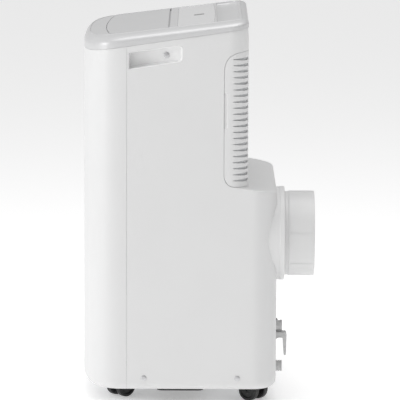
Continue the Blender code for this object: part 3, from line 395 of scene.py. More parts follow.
WHITE = (0.73, 0.73, 0.73)
white_plastic = moulded("white_moulding", WHITE, 0.40)
outer_rows, inner_rows = cabinet_rows(0.0, SEAM_GAP), cabinet_rows(SHELL_WALL, SEAM_GAP)
bow_part = np.r_[BACK_COUNT - 1 : outer_rows.shape[1], 0]
back_part = np.arange(BACK_COUNT)


def seam_edged(rows, shift):
    """The same rows with their two end columns moved along Y, which leaves the gap at the seam."""
    moved = rows.copy()
    moved[:, [0, -1], 1] += shift
    return moved


front = shell(
    "front_cover_shell",
    seam_edged(outer_rows[:, bow_part], -SEAM_GAP / 2),
    seam_edged(inner_rows[:, bow_part], -SEAM_GAP / 2),
)
dress(even(front), white_plastic, "cabinet", "white_plastic", "front_cover")

# Openings of the rear housing: the grille's place, handles, hose outlet, swing
# room over each castor, lower slots and holes for fittings.
GRILLE_FRONT_Y, GRILLE_FOOT_Z, GRILLE_TOP_DROP = 0.0455, 0.3985, 0.0405
GRILLE_TOP_ROUND, GRILLE_FOOT_ROUND = 0.030, 0.024
HANDLE_FRONT_Y, HANDLE_LENGTH, HANDLE_HEIGHT = -0.126, 0.097, 0.031
HANDLE_DROP, HANDLE_ROUND, HANDLE_FRONT_ROUND, HANDLE_FIT = 0.0265, 0.010, 0.0016, 0.00012
OUTLET_X, OUTLET_Z, OUTLET_RADIUS, OUTLET_FIT = 0.122, 0.302, 0.085, 0.0001
CASTOR_SPOTS = {
    "front_right": (0.1206, -0.1306, 42.0, -1),
    "front_left": (-0.1206, -0.1306, 138.0, 1),
    "rear_right": (0.1540, 0.0907, -38.0, 1),
    "rear_left": (-0.1540, 0.0907, 218.0, -1),
}
SWING_RADIUS, CASTOR_TOP_Z = 0.0415, 0.0505
LOWER_SLOT_COUNT, LOWER_SLOT_Z, LOWER_SLOT_PITCH = 12, 0.115, 0.016
LOWER_SLOT_STARTS, LOWER_SLOT_LENGTH, LOWER_SLOT_ROUND = (-0.165, -0.086), 0.073, 0.0038
FITTING_X, UPPER_DRAIN_Z, LOWER_DRAIN_Z, DRAIN_RADIUS = 0.110, 0.128, 0.0525, 0.0103
DRAIN_BORE = DRAIN_RADIUS - 0.0027
GLAND_X, GLAND_Z, GLAND_RADIUS = -0.150, 0.085, 0.008
SIDE_SCREW_YS, SIDE_SCREW_Z, SCREW_HOLE = (-0.0976, 0.0713), 0.0495, 0.0026
BEYOND, BEYOND_REAR_Y = 0.3, 0.2


def grille_outline(margin):
    """Side view of the grille: round front corners, foot level, top edge parallel to the rim."""
    front, foot = GRILLE_FRONT_Y + margin, GRILLE_FOOT_Z + margin
    tops = [rim_height(y) - GRILLE_TOP_DROP - margin for y in (BEYOND_REAR_Y, front)]
    corners = [(front, foot), (BEYOND_REAR_Y, foot), (BEYOND_REAR_Y, tops[0]), (front, tops[1])]
    return softened(corners, (GRILLE_FOOT_ROUND, 0.001, 0.001, GRILLE_TOP_ROUND), 8)


def handle_outline(margin):
    """Side view of a handle recess: square in front, round behind, sloped with the rim."""
    front, rear = HANDLE_FRONT_Y - margin, HANDLE_FRONT_Y + HANDLE_LENGTH + margin
    half = HANDLE_HEIGHT / 2 + margin
    ways = ((front, -1), (rear, -1), (rear, 1), (front, 1))
    corners = [(y, rim_height(y) - HANDLE_DROP + way * half) for y, way in ways]
    small, large = max(HANDLE_FRONT_ROUND + margin, 0.0005), HANDLE_ROUND + margin
    return softened(corners, (small, large, large, small), 7)


def drum(radius, low, high):
    """The profile of a plain cylinder between two heights."""
    return [(0, low), (radius, low), (radius, high), (0, high)]


def along_back(name, radius, x, z, start=0.09, length=0.1, sides=40):
    """A round cutter along Y through the back wall."""
    return turned(name, drum(radius, 0, length), (x, start, z), (0, 1, 0), sides)


openings = [
    side_prism("grille_place", grille_outline(0.0), -BEYOND, BEYOND),
    side_prism("handle_places", handle_outline(HANDLE_FIT), -BEYOND, BEYOND),
    along_back("outlet_hole", OUTLET_RADIUS + OUTLET_FIT, OUTLET_X, OUTLET_Z, 0.085, 0.2, 128),
    along_back("upper_drain_hole", DRAIN_BORE, FITTING_X, UPPER_DRAIN_Z),
    along_back("lower_drain_hole", DRAIN_BORE, FITTING_X, LOWER_DRAIN_Z),
    along_back("gland_hole", GLAND_RADIUS + SEAM_GAP, GLAND_X, GLAND_Z),
]
swing = drum(SWING_RADIUS, 0, CASTOR_TOP_Z)
for place, (x, y, _, _) in CASTOR_SPOTS.items():
    openings.append(turned("swing_" + place, swing, (x, y, 0), (0, 0, 1), 64))
for row in range(LOWER_SLOT_COUNT):
    foot = LOWER_SLOT_Z + LOWER_SLOT_PITCH * row
    for start in LOWER_SLOT_STARTS:
        corners = [(start, foot), (start + LOWER_SLOT_LENGTH, foot)]
        corners += [(x, z + LOWER_SLOT_PITCH / 2) for x, z in corners[::-1]]
        outline = softened(corners, LOWER_SLOT_ROUND, 4)
        rings = [stack(outline[:, 0], y, outline[:, 1]) for y in (0.1, 0.2)]
        openings.append(loft(f"lower_slot_{row}_{start}", rings))
for y in SIDE_SCREW_YS:
    hole = drum(SCREW_HOLE, -BEYOND, BEYOND)
    openings.append(turned(f"screw_hole_{y}", hole, (0, y, SIDE_SCREW_Z), (1, 0, 0), 24))
rear = shell(
    "rear_housing_shell",
    seam_edged(outer_rows[:, back_part], SEAM_GAP / 2),
    seam_edged(inner_rows[:, back_part], SEAM_GAP / 2),
)
carve(rear, openings)
dress(even(rear), white_plastic, "cabinet", "white_plastic", "rear_housing")


# ---------------------------------------------------------------------------
# Handle recesses: a moulded cup in each side wall, deep in front for the
# fingers and running out shallow behind, held by one screw through its floor.

CUP_DEEP, CUP_SHALLOW, CUP_WALL = 0.024, 0.0088, 0.0022
CUP_LIP, CUP_DRAFT, CUP_FOOT_ROUND, CUP_FOOT_SHARE = 0.0009, 0.0008, 0.0022, 0.8
CUP_SCREW_HOLE = 0.0023


def cup_depth(y):
    """Depth of the cup's floor, a straight run from deep to shallow."""
    along = np.clip((y - HANDLE_FRONT_Y) / HANDLE_LENGTH, 0.0, 1.0)
    return CUP_DEEP + (CUP_SHALLOW - CUP_DEEP) * along


def cup_rows(side):
    """Rings from the floor up to the mouth and back down outside.

    Inside: a rounded foot, a drafted wall and a quarter-round lip. Outside: straight through the side
    wall, then wider behind it, down to a second floor a wall's thickness further in.
    """
    rows = []
    for share in np.concatenate([np.linspace(1.0, 0.84, 7), np.linspace(CUP_FOOT_SHARE, 0.15, 5)]):
        foot = np.clip((share - CUP_FOOT_SHARE) / 0.2, 0.0, 1.0)
        pull = CUP_DRAFT * share
        outline = handle_outline(-CUP_LIP - pull - CUP_FOOT_ROUND * (1 - np.sqrt(1 - foot**2)))
        depth = CUP_LIP + (cup_depth(outline[:, 0]) - CUP_LIP) * share
        rows.append(stack(side * (HALF_WIDTH - depth), outline[:, 0], outline[:, 1]))
    for turn in np.linspace(np.pi / 2, 0.0, 5):
        outline = handle_outline(-CUP_LIP * np.sin(turn))
        depth = CUP_LIP * (1 - np.cos(turn))
        rows.append(stack(side * (HALF_WIDTH - depth), outline[:, 0], outline[:, 1]))
    behind = SHELL_WALL + 0.0004
    for margin, share in ((0.0, 0.0), (CUP_WALL, 0.0), (CUP_WALL - 0.001, 1.0)):
        outline = handle_outline(margin)
        depth = behind + (cup_depth(outline[:, 0]) + CUP_WALL - behind) * share
        rows.append(stack(side * (HALF_WIDTH - depth), outline[:, 0], outline[:, 1]))
    return rows


# ---------------------------------------------------------------------------
# Screws: zinc-plated pan heads with a cross recess, two low down on each side
# and one through each handle cup.

HEAD_RADIUS, HEAD_HEIGHT, WASHER_EDGE = 0.0052, 0.0018, 0.0006
SHANK_RADIUS, SHANK_LENGTH = 0.0021, 0.006
RECESS_REACH, RECESS_HALF, RECESS_DEPTH = HEAD_RADIUS * 0.62, 0.0006, 0.0011


def plated(name, colour, roughness, relief=0.00001):
    """Plated or bare metal: fine cloudy gloss and a faint lighter-darker drift."""
    made = Finish(name, metallic=1.0)
    cloud = made.noise(380.0)
    made.paint(base_color=made.between(cloud, toned(colour, 0.90), toned(colour, 1.06)))
    made.paint(roughness=roughness - 0.06 + 0.12 * made.noise(1400.0))
    made.bump(made.noise(2600.0), relief)
    return made.material


zinc = plated("zinc_plate", (0.62, 0.62, 0.63), 0.34)


def screw(name, x, y, z, side, *nodes):
    """A domed head r = R cos t with a flat washer edge, and a shank behind; a cross is cut in its top."""
    turn = np.linspace(0.0, np.pi / 2, 8)
    rise = WASHER_EDGE + (HEAD_HEIGHT - WASHER_EDGE) * np.sin(turn)
    dome = np.stack([HEAD_RADIUS * 0.96 * np.cos(turn), rise], axis=-1)
    low = [(0, -SHANK_LENGTH), (SHANK_RADIUS, -SHANK_LENGTH), (SHANK_RADIUS, 0)]
    low += [(HEAD_RADIUS, 0), (HEAD_RADIUS, 0.0005)]
    head = turned(name, np.concatenate([low, dome]), (x, y, z), (side, 0, 0), 40)
    reach, half = RECESS_REACH, RECESS_HALF
    face, foot = x + side * 0.003, x + side * (HEAD_HEIGHT - RECESS_DEPTH)
    low_x, high_x = min(face, foot), max(face, foot)
    arms = [box(name + "_a", (low_x, y - reach, z - half), (high_x, y + reach, z + half))]
    arms.append(box(name + "_b", (low_x, y - half, z - reach), (high_x, y + half, z + reach)))
    dress(even(carve(head, arms)), zinc, "cabinet", "bare_steel", *nodes)


# The cups are the housing's white plastic drawn lighter: painted light that stands in for the light
# reaching into the recesses.
cup_white_painted_light = moulded("white_cup_painted_light", (0.86, 0.86, 0.86), 0.42)
HANDLE_SCREW_Y = HANDLE_FRONT_Y + 0.068
for side, word in ((1, "right"), (-1, "left")):
    cup = loft(f"handle_cup_{word}_moulding", cup_rows(side))
    hole_x = side * (HALF_WIDTH - cup_depth(HANDLE_SCREW_Y))
    hole_z = rim_height(HANDLE_SCREW_Y) - HANDLE_DROP
    drill = drum(CUP_SCREW_HOLE, -0.01, 0.01)
    carve(cup, [turned(f"cup_drill_{word}", drill, (hole_x, HANDLE_SCREW_Y, hole_z), (1, 0, 0), 24)])
    dress(even(cup), cup_white_painted_light, "cabinet", "white_plastic", f"handle_cup_{word}")
    name = f"handle_screw_{word}"
    screw(name + "_head", hole_x + side * 0.0011, HANDLE_SCREW_Y, hole_z, side, name)
    for number, y in enumerate(SIDE_SCREW_YS, 1):
        name = f"side_screw_{word}_{number}"
        screw(name + "_head", side * (HALF_WIDTH + 0.0001), y, SIDE_SCREW_Z, side, name)


# ---------------------------------------------------------------------------
# Top rim: a silver-painted moulding round the top, steep outside and rolled
# over onto the sloping deck, with a small bead along its inner edge.

RIM_WIDTH, RIM_FRONT_WIDTH, RIM_REAR_WIDTH = 0.027, 0.011, 0.012
RIM_SECTION = [(0, 0), (0, 0.2), (0, 0.36), (0.02, 0.47), (0.10, 0.62)]
RIM_SECTION += [(0.25, 0.76), (0.52, 0.90), (0.86, 0.985)]
BEAD_RISE = 0.0007


def smooth_through(points, steps=5):
    """A Catmull-Rom curve: each span is a cubic in t, with half its neighbours' chord as its end slope."""
    points = np.asarray(points, float)
    padded = np.concatenate([2 * points[:1] - points[1:2], points, 2 * points[-1:] - points[-2:-1]])
    a, b, c, d = (padded[i : len(padded) - 3 + i, None] for i in range(4))
    t = np.linspace(0.0, 1.0, steps, endpoint=False)[None, :, None]
    square, cube = 2 * a - 5 * b + 4 * c - d, 3 * b - a - 3 * c + d
    spans = 0.5 * (2 * b + (c - a) * t + square * t**2 + cube * t**3)
    return np.concatenate([spans.reshape(-1, points.shape[1]), points[-1:]])


def painted(name, colour, roughness, metallic):
    """Satin silver paint: fine metal flake in colour and gloss, orange peel under a thin clear coat."""
    made = Finish(name, metallic=metallic, coat_weight=0.25, coat_roughness=0.12)
    flake = made.noise(5200.0, 0.0)
    cloud = made.noise(14.0)
    shade = 0.75 * flake + 0.25 * cloud
    made.paint(base_color=made.between(shade, toned(colour, 0.90), toned(colour, 1.10)))
    made.paint(roughness=roughness - 0.07 + 0.14 * flake)
    made.bump(made.noise(420.0, 1.0), 0.000018)
    return made.material


def rim_plan(share, more=0.0):
    """The plan at a share of the rim's width inwards: wide at the sides, narrow in front and behind."""
    widths = [share * width + more for width in (RIM_WIDTH, RIM_FRONT_WIDTH, RIM_REAR_WIDTH)]
    return plan(UPPER_REAR_Y, UPPER_CORNER, *widths)


SILVER = (0.63, 0.63, 0.635)
silver_paint = painted("silver_rim_paint", SILVER, 0.40, 0.25)
rim_rows = []
for share, rise in smooth_through(RIM_SECTION, 4):
    x, y = rim_plan(share)
    rim_rows.append(stack(x, y, rim_height(y) + rise * (top_height(y) - rim_height(y))))
for turn in np.linspace(0.0, np.pi, 8):
    x, y = rim_plan(0.965 - 0.035 * np.cos(turn))
    rim_rows.append(stack(x, y, top_height(y) + BEAD_RISE * np.sin(turn)))
for share in (1.0, 0.0):
    x, y = rim_plan(share)
    rim_rows.append(stack(x, y, rim_height(y)))
rim_rows = np.array(rim_rows)
rim = piece("top_rim_moulding", rim_rows, quads(*rim_rows.shape[:2], True, True))
dress(even(rim), silver_paint, "cabinet", "silver_paint", "top_rim")


# ---------------------------------------------------------------------------
# Deck: the silver moulding inside the rim. It carries the flap in a recess over
# the air throat, a bar for the vanes, the control panel and a shallow rear dish.

DECK_FLANGE, DECK_WALL = 0.004, 0.003
DECK_FOOT_DROP, CUTTER_RISE = 0.0035, 0.02
FLAP_WIDTH, FLAP_FRONT_Y, FLAP_HINGE_Y = 0.372, -0.170, -0.0575
FLAP_THICKNESS, FLAP_BOW, FLAP_CORNER = 0.003, 0.012, 0.022
HINGE_SLOT, HINGE_PIN = 0.003, 0.0018
STRIP_LENGTH, PANEL_END_Y, PANEL_THICKNESS = 0.0135, 0.030, 0.003
DISH_END_Y, DISH_DEPTH = 0.074, 0.005
THROAT_HALF, THROAT_FRONT_Y, THROAT_REAR_Y = 0.150, -0.150, -0.080
VANE_Y = (THROAT_FRONT_Y + THROAT_REAR_Y) / 2
VANE_XS = (np.arange(4) - 1.5) * 2 * THROAT_HALF / 4
VANE_HUB = 0.003


def lifted(height, by):
    """A height function moved up by a fixed amount."""
    return lambda y: height(y) + by


def flap_outline(margin, rear_extra=0.0):
    """Plan of the flap: a front edge bowed by x^2 that turns through a quarter circle at each corner."""
    half, rear = FLAP_WIDTH / 2 + margin, FLAP_HINGE_Y + 0.002 + margin + rear_extra
    turn = np.linspace(0.0, np.pi / 2, 14)
    straight = np.linspace(-1.0, 1.0, 40)[1:-1] * (half - FLAP_CORNER)
    pull = FLAP_CORNER * (1 - np.sin(turn))
    x = np.concatenate([-half + pull[::-1], straight, half - pull])
    fall = np.concatenate([1 - np.cos(turn[::-1]), 0 * straight, 1 - np.cos(turn)]) * FLAP_CORNER
    y = FLAP_FRONT_Y - margin + FLAP_BOW * (x / half) ** 2 + fall
    return np.concatenate([np.stack([x, y], axis=-1), [(half, rear), (-half, rear)]])


def panel_outline(margin):
    """Plan of the control panel: straight front and sides, rear edge bowed by x^2."""
    half = HALF_WIDTH - RIM_WIDTH - 0.002 + margin
    front = FLAP_HINGE_Y + 0.002 + HINGE_SLOT + STRIP_LENGTH - margin
    x = np.linspace(half, -half, 33)
    bowed = np.stack([x, PANEL_END_Y + margin - 0.003 * (x / half) ** 2], axis=-1)
    return np.concatenate([[(-half, front), (half, front)], bowed])


def rectangle(low, high, rounding, steps=6):
    """An upright rectangle in plan or side view, with its corners softened."""
    corners = [(low[0], low[1]), (high[0], low[1]), (high[0], high[1]), (low[0], high[1])]
    return softened(corners, rounding, steps)


low_deck, above = lifted(rim_height, -DECK_FOOT_DROP), lifted(top_height, CUTTER_RISE)
deck_plan, flange_plan = rim_plan(1.0, 0.0002), upper_plan(DECK_FLANGE)
deck = plan_prism("top_deck_moulding", np.stack(deck_plan, axis=-1), low_deck, top_height)
flange_top = lifted(rim_height, -SEAM_GAP)
flange = plan_prism("deck_flange", np.stack(flange_plan, axis=-1), low_deck, flange_top)
carve(deck, [flange], "UNION")
under = lifted(top_height, -FLAP_THICKNESS - 0.004 - DECK_WALL)
throat = rectangle((-THROAT_HALF, THROAT_FRONT_Y), (THROAT_HALF, THROAT_REAR_Y), 0.010)
half_dish = HALF_WIDTH - RIM_WIDTH - 0.003
dish_rounds = (0.004, 0.004, 0.020, 0.020)
dish = rectangle((-half_dish, PANEL_END_Y + 0.002), (half_dish, DISH_END_Y), dish_rounds, 8)
dish_middle_y = (PANEL_END_Y + DISH_END_Y) / 2
dish_rings = [stack(dish[:, 0], dish[:, 1], above(dish[:, 1]))]
for turn in np.linspace(0.0, np.pi / 2, 9):
    shrink = 1 - np.cos(turn)
    x = dish[:, 0] * (1 - 0.035 * shrink)
    y = dish_middle_y + (dish[:, 1] - dish_middle_y) * (1 - 0.13 * shrink)
    dish_rings.append(stack(x, y, top_height(y) - DISH_DEPTH * np.sin(turn)))
hollow_plan = np.stack(rim_plan(1.0, 0.0043), axis=-1)
flap_floor = lifted(top_height, -FLAP_THICKNESS - 0.001)
panel_floor = lifted(top_height, -PANEL_THICKNESS - SEAM_GAP)
places = [
    plan_prism("hollow_below", hollow_plan, lifted(low_deck, -0.01), under),
    plan_prism("flap_place", flap_outline(0.001, HINGE_SLOT - 0.001), flap_floor, above),
    plan_prism("throat", throat, level_at(0.5), above),
    plan_prism("panel_place", panel_outline(-0.0001), panel_floor, above),
    loft("dish", dish_rings),
]
carve(deck, places)
bar_low, bar_high = (-THROAT_HALF - 0.01, VANE_Y - 0.005), (THROAT_HALF + 0.01, VANE_Y + 0.005)
bar = rectangle(bar_low, bar_high, 0.0005, 2)
bar_foot, bar_top = lifted(top_height, -0.0125), lifted(top_height, -0.0075)
carve(deck, [plan_prism("vane_bar", bar, bar_foot, bar_top)], "UNION")
holes = []
vane_bore = drum(VANE_HUB + SEAM_GAP, 0, 0.03)
for x in VANE_XS:
    foot = (x, VANE_Y, top_height(VANE_Y) - 0.02)
    holes.append(turned(f"vane_hole_{x:.3f}", vane_bore, foot, (0, 0, 1), 28))
hinge_place = (0, FLAP_HINGE_Y, top_height(FLAP_HINGE_Y) - FLAP_THICKNESS / 2)
hinge_bore = drum(HINGE_PIN + SEAM_GAP, -0.19, 0.19)
holes.append(turned("hinge_bore", hinge_bore, hinge_place, (1, 0, 0), 24))
carve(deck, holes)
dress(even(deck), silver_paint, "cabinet", "silver_paint", "top_deck")

# The flap: a thin silver lid with eased edges that swings up at the front on
# two pins, and the upright vanes under it, which turn together.
flap_silver = painted("silver_flap_paint", SILVER, 0.36, 0.25)
flap = plan_prism("louver_flap_lid", flap_outline(0.0), lifted(top_height, -FLAP_THICKNESS), top_height)
pins = drum(HINGE_PIN, -FLAP_WIDTH / 2 - 0.002, FLAP_WIDTH / 2 + 0.002)
carve(flap, [turned("hinge_pins", pins, hinge_place, (1, 0, 0), 24)], "UNION")
dress(eased(flap, 0.0007, 3), flap_silver, "flap", "silver_paint", "louver_flap")

VANE_HALF_CHORD, VANE_LOW, VANE_HIGH, VANE_HALF_THICKNESS = 0.026, -0.036, -0.0135, 0.0011
grey_plastic = moulded("grey_moulding", (0.34, 0.35, 0.36), 0.5, 1500.0)
for number, x in enumerate(VANE_XS, 1):
    station = np.linspace(-1.0, 1.0, 25)
    thickness = VANE_HALF_THICKNESS * np.sqrt(np.clip(1 - np.abs(station) ** 4, 0.0, 1.0))
    y = VANE_Y + VANE_HALF_CHORD * np.concatenate([station, station[::-1][1:-1]])
    across = x + np.concatenate([-thickness, thickness[::-1][1:-1]])
    rings = [stack(across, y, top_height(y) + level) for level in (VANE_LOW, VANE_HIGH)]
    vane = loft(f"deflector_vane_{number}_blade", rings)
    foot = (x, VANE_Y, top_height(VANE_Y) - 0.042)
    carve(vane, [turned(f"vane_hub_{number}", drum(VANE_HUB, 0, 0.0335), foot, (0, 0, 1), 28)], "UNION")
    dress(even(vane), grey_plastic, f"vane_{number}", "grey_plastic", f"deflector_vane_{number}")

# Control panel: a glossy pale plate of touch areas with a small smoked display
# window let into its middle.
DISPLAY_HALF, DISPLAY_DEPTH = 0.009, 0.0012


def glossy(name, colour, roughness):
    """Polished plastic under a clear coat: faint waviness and the lightest haze."""
    made = Finish(name, coat_weight=0.6, coat_roughness=0.05)
    cloud = made.noise(26.0)
    made.paint(base_color=made.between(cloud, toned(colour, 0.975), toned(colour, 1.02)))
    made.paint(roughness=roughness + 0.06 * made.noise(900.0))
    made.bump(made.noise(60.0), 0.00001)
    return made.material


pale_gloss = glossy("pale_panel_gloss", (0.84, 0.84, 0.85), 0.16)
smoked_gloss = glossy("smoked_window_gloss", (0.02, 0.02, 0.022), 0.08)
panel_foot = lifted(top_height, -PANEL_THICKNESS)
panel = plan_prism("control_panel_plate", panel_outline(-SEAM_GAP), panel_foot, top_height)
reach = DISPLAY_HALF + SEAM_GAP
well = rectangle((-reach, -reach), (reach, reach), 0.0022, 5)
carve(panel, [plan_prism("display_well", well, lifted(top_height, -DISPLAY_DEPTH), above)])
dress(eased(panel, 0.0005), pale_gloss, "cabinet", "glossy_panel", "control_panel")
glass = rectangle((-DISPLAY_HALF, -DISPLAY_HALF), (DISPLAY_HALF, DISPLAY_HALF), 0.0019, 5)
glass_foot, glass_top = lifted(top_height, -DISPLAY_DEPTH + SEAM_GAP), lifted(top_height, 0.0002)
window = plan_prism("display_window_glass", glass, glass_foot, glass_top)
dress(eased(window, 0.0002), smoked_gloss, "cabinet", "smoked_window", "display_window")


# ---------------------------------------------------------------------------
# Intake grille: a white moulding that wraps round the back of the upper body,
# with wedge-shaped slots that open towards the rear, and a grey filter behind.

SLOT_COUNT, SLOT_PITCH, SLOT_FIRST_Z, SLOT_HEIGHT, SLOT_TIP = 21, 0.01094, 0.411, 0.0052, 0.001
SLOT_START_Y, SLOT_FULL_Y, SLOT_RIB_X, SLOT_RIB_HALF = 0.062, 0.082, 0.070, 0.002
GRILLE_GAP, BLANK_DROP, BLANK_TOP_Z = 0.0005, 0.02, 0.68


def rear_plan(inset):
    """The upper plan behind the seam: side, quarter circle, back, quarter circle, side."""
    x, y = upper_plan(inset)
    return x[:BACK_COUNT], y[:BACK_COUNT]


blank_heights = np.linspace(GRILLE_FOOT_Z - BLANK_DROP, BLANK_TOP_Z, 3)[:, None]
grille_rows = [stack(*rear_plan(inset), blank_heights) for inset in (0.0, SHELL_WALL)]
grille = shell("intake_grille_moulding", *grille_rows)
window_solid = side_prism("grille_side_view", grille_outline(GRILLE_GAP), -BEYOND, BEYOND)
carve(grille, [window_solid], "INTERSECT")
spans = [(-BEYOND, -SLOT_RIB_X), (-SLOT_RIB_X, SLOT_RIB_X), (SLOT_RIB_X, BEYOND)]
wedges = []
for row in range(SLOT_COUNT):
    z = SLOT_FIRST_Z + row * SLOT_PITCH
    tip, full = SLOT_TIP / 2, SLOT_HEIGHT / 2
    wedge = [(SLOT_START_Y, z - tip), (SLOT_FULL_Y, z - full), (BEYOND_REAR_Y, z - full)]
    wedge += [(BEYOND_REAR_Y, z + full), (SLOT_FULL_Y, z + full), (SLOT_START_Y, z + tip)]
    for start, end in spans:
        low_x, high_x = start + SLOT_RIB_HALF, end - SLOT_RIB_HALF
        wedges.append(side_prism(f"slot_{row}_{start}", np.array(wedge), low_x, high_x))
carve(grille, wedges)

# A shallow thumb scallop pressed into the grille's front edge on each side.
SCALLOP_Z, SCALLOP_LENGTH, SCALLOP_REACH, SCALLOP_DEPTH = 0.5375, 0.065, 0.007, 0.0013
for side in (-1, 1):
    half, ahead = SCALLOP_LENGTH / 2, GRILLE_FRONT_Y - 0.01
    rings = []
    for share in np.linspace(0.0, 1.0, 7):
        rear, narrow = GRILLE_FRONT_Y + SCALLOP_REACH * (1 - 0.35 * share**2), half * (1 - 0.06 * share)
        corners = [(ahead, -half), (rear, -narrow), (rear, narrow), (ahead, half)]
        outline = softened(corners, (0.0005, 0.004, 0.004, 0.0005), 6)
        x = side * (HALF_WIDTH + 0.001 - (SCALLOP_DEPTH + 0.001) * np.sin(share * np.pi / 2))
        rings.append(stack(x, outline[:, 0], SCALLOP_Z + outline[:, 1]))
    carve(grille, [loft(f"scallop_{side}", rings)])
dress(even(grille), white_plastic, "grille", "white_plastic", "intake_grille")

FILTER_FRONT_Y, FILTER_LOW_Z, FILTER_TOP_Z, FILTER_THICKNESS = 0.058, 0.4045, 0.632, 0.006


def woven(name, colour):
    """Nylon filter mesh: two crossing sets of threads as sine ridges, in colour and relief."""
    made = Finish(name)
    threads = []
    for axis in ("X", "Z"):
        settings = {"wave_type": "BANDS", "bands_direction": axis, "wave_profile": "SIN"}
        inputs = {"Vector": made.place, "Scale": 260.0, "Distortion": 0.0}
        threads.append(made.node("ShaderNodeTexWave", settings, inputs))
    weave = threads[0] * 0.5 + threads[1] * 0.5
    made.paint(base_color=made.between(weave, toned(colour, 0.6), toned(colour, 1.2)), roughness=0.7)
    made.bump(weave, 0.0003)
    return made.material


filter_rows = []
for inset in (SHELL_WALL + SEAM_GAP, SHELL_WALL + SEAM_GAP + FILTER_THICKNESS):
    x, y = rear_plan(inset)
    keep = y > FILTER_FRONT_Y
    side_x = HALF_WIDTH - inset
    x = np.concatenate([[side_x], x[keep], [-side_x]])
    y = np.concatenate([[FILTER_FRONT_Y], y[keep], [FILTER_FRONT_Y]])
    filter_rows.append(stack(x, y, np.linspace(FILTER_LOW_Z, FILTER_TOP_Z, 4)[:, None]))
screen = shell("air_filter_screen", *filter_rows)
# The filter's own grey, drawn lighter as painted light that stands in for the light reaching it through the
# shaded slots.
filter_mesh = woven("grey_filter_and_painted_light", (0.66, 0.67, 0.68))
dress(even(screen), filter_mesh, "grille", "grey_plastic", "air_filter")


# ---------------------------------------------------------------------------
# Hose outlet: a round boss that grows out of the rear corner, and the white
# collar pushed into it, which takes the 150 mm exhaust hose.

RING_START_Y, RING_END_Y = 0.104, 0.157
COLLAR_RADIUS, COLLAR_WALL, COLLAR_END_Y, SPIGOT = 0.0775, 0.003, 0.211, 0.020
OUTLET_SIDES = 144
seat = COLLAR_RADIUS + SEAM_GAP
ring_profile = [
    (seat - 0.004, RING_START_Y),
    (OUTLET_RADIUS, RING_START_Y),
    (OUTLET_RADIUS, RING_END_Y - 0.0095),
    (OUTLET_RADIUS + 0.0006, RING_END_Y - 0.0085),
    (OUTLET_RADIUS + 0.0006, RING_END_Y),
    (seat, RING_END_Y),
    (seat, RING_END_Y - SPIGOT - 0.002),
    (seat - 0.004, RING_END_Y - SPIGOT - 0.002),
]
ring_rounds = (0.0003, 0.0003, 0.0004, 0.0004, 0.0022, 0.0012, 0.0002, 0.0002)
ring_profile = softened(ring_profile, ring_rounds, 5)
ring = turned("outlet_boss_ring", ring_profile, (OUTLET_X, 0, OUTLET_Z), (0, 1, 0), OUTLET_SIDES, True)
dress(even(ring), white_plastic, "cabinet", "white_plastic", "outlet_ring")

inner, neck = COLLAR_RADIUS - COLLAR_WALL, COLLAR_RADIUS - 0.0012
collar_profile = [
    (inner, RING_END_Y - SPIGOT),
    (COLLAR_RADIUS - SEAM_GAP, RING_END_Y - SPIGOT),
    (COLLAR_RADIUS - SEAM_GAP, RING_END_Y + 0.0004),
    (neck, RING_END_Y + 0.0012),
    (neck, RING_END_Y + 0.0060),
    (COLLAR_RADIUS, RING_END_Y + 0.0078),
    (COLLAR_RADIUS, COLLAR_END_Y - 0.0045),
    (COLLAR_RADIUS - 0.0004, COLLAR_END_Y),
    (inner + 0.0006, COLLAR_END_Y),
    (inner, COLLAR_END_Y - 0.003),
]
collar_rounds = (0.0004, 0.0004, 0.0003, 0.0003, 0.0012, 0.0012, 0.001, 0.0009, 0.0009, 0.001)
collar_profile = softened(collar_profile, collar_rounds, 4)
outlet_centre = np.array([OUTLET_X, 0.0, OUTLET_Z])
collar = turned("hose_collar_moulding", collar_profile, outlet_centre, (0, 1, 0), OUTLET_SIDES, True)

# Four low key ribs along the collar, each wider at its foot.
RIB_ANGLES, RIB_HALF, RIB_RISE, RIB_ROOT = (-37.5, 8.5, 142.5, 188.5), 0.0005, 0.0006, 0.0015
rib_section = [(-RIB_ROOT, -RIB_HALF), (RIB_RISE, -RIB_HALF * 0.5)]
rib_section += [(RIB_RISE, RIB_HALF * 0.5), (-RIB_ROOT, RIB_HALF)]
ribs = []
for angle in RIB_ANGLES:
    out = np.array([np.cos(np.radians(angle)), 0.0, np.sin(np.radians(angle))])
    side = np.array([-out[2], 0.0, out[0]])
    corners = []
    for rise, offset in rib_section:
        corners.append(outlet_centre + out * (COLLAR_RADIUS + rise) + side * offset)
    rings = [np.array(corners) + (0.0, y, 0.0) for y in (RING_END_Y + 0.009, COLLAR_END_Y - 0.006)]
    ribs.append(loft(f"collar_rib_{angle:.0f}", rings))
carve(collar, ribs, "UNION")
collar_white = moulded("white_collar_moulding", (0.69, 0.69, 0.69), 0.36)
dress(even(collar), collar_white, "collar", "white_plastic", "hose_collar")


# ---------------------------------------------------------------------------
# Rear fittings: a hook that holds the wound power cord, two push-in drain
# plugs, and an empty rubber gland where the cord would leave.

HOOK_Z, HOOK_REACH, HOOK_DROP, HOOK_HALF = 0.111, 0.0205, 0.036, 0.011
face, tip = LOWER_REAR_Y + SEAM_GAP, LOWER_REAR_Y + SEAM_GAP + HOOK_REACH
hook_outline = [
    (face, HOOK_Z - 0.008),
    (face + 0.004, HOOK_Z - 0.0045),
    (tip - 0.0075, HOOK_Z - 0.0045),
    (tip - 0.0052, HOOK_Z - HOOK_DROP - 0.001),
    (tip - 0.0012, HOOK_Z - HOOK_DROP - 0.001),
    (tip, HOOK_Z + 0.003),
    (tip - 0.002, HOOK_Z + 0.0055),
    (face, HOOK_Z + 0.0055),
]
hook_outline = softened(hook_outline, (0.0004, 0.002, 0.002, 0.0018, 0.0018, 0.002, 0.0012, 0.0004), 5)
hook = side_prism("cord_hook_moulding", hook_outline, FITTING_X - HOOK_HALF, FITTING_X + HOOK_HALF)
fitting_white = moulded("white_fitting_moulding", (0.60, 0.60, 0.60), 0.42)
dress(eased(hook, 0.0007), fitting_white, "cabinet", "white_plastic", "cord_hook")

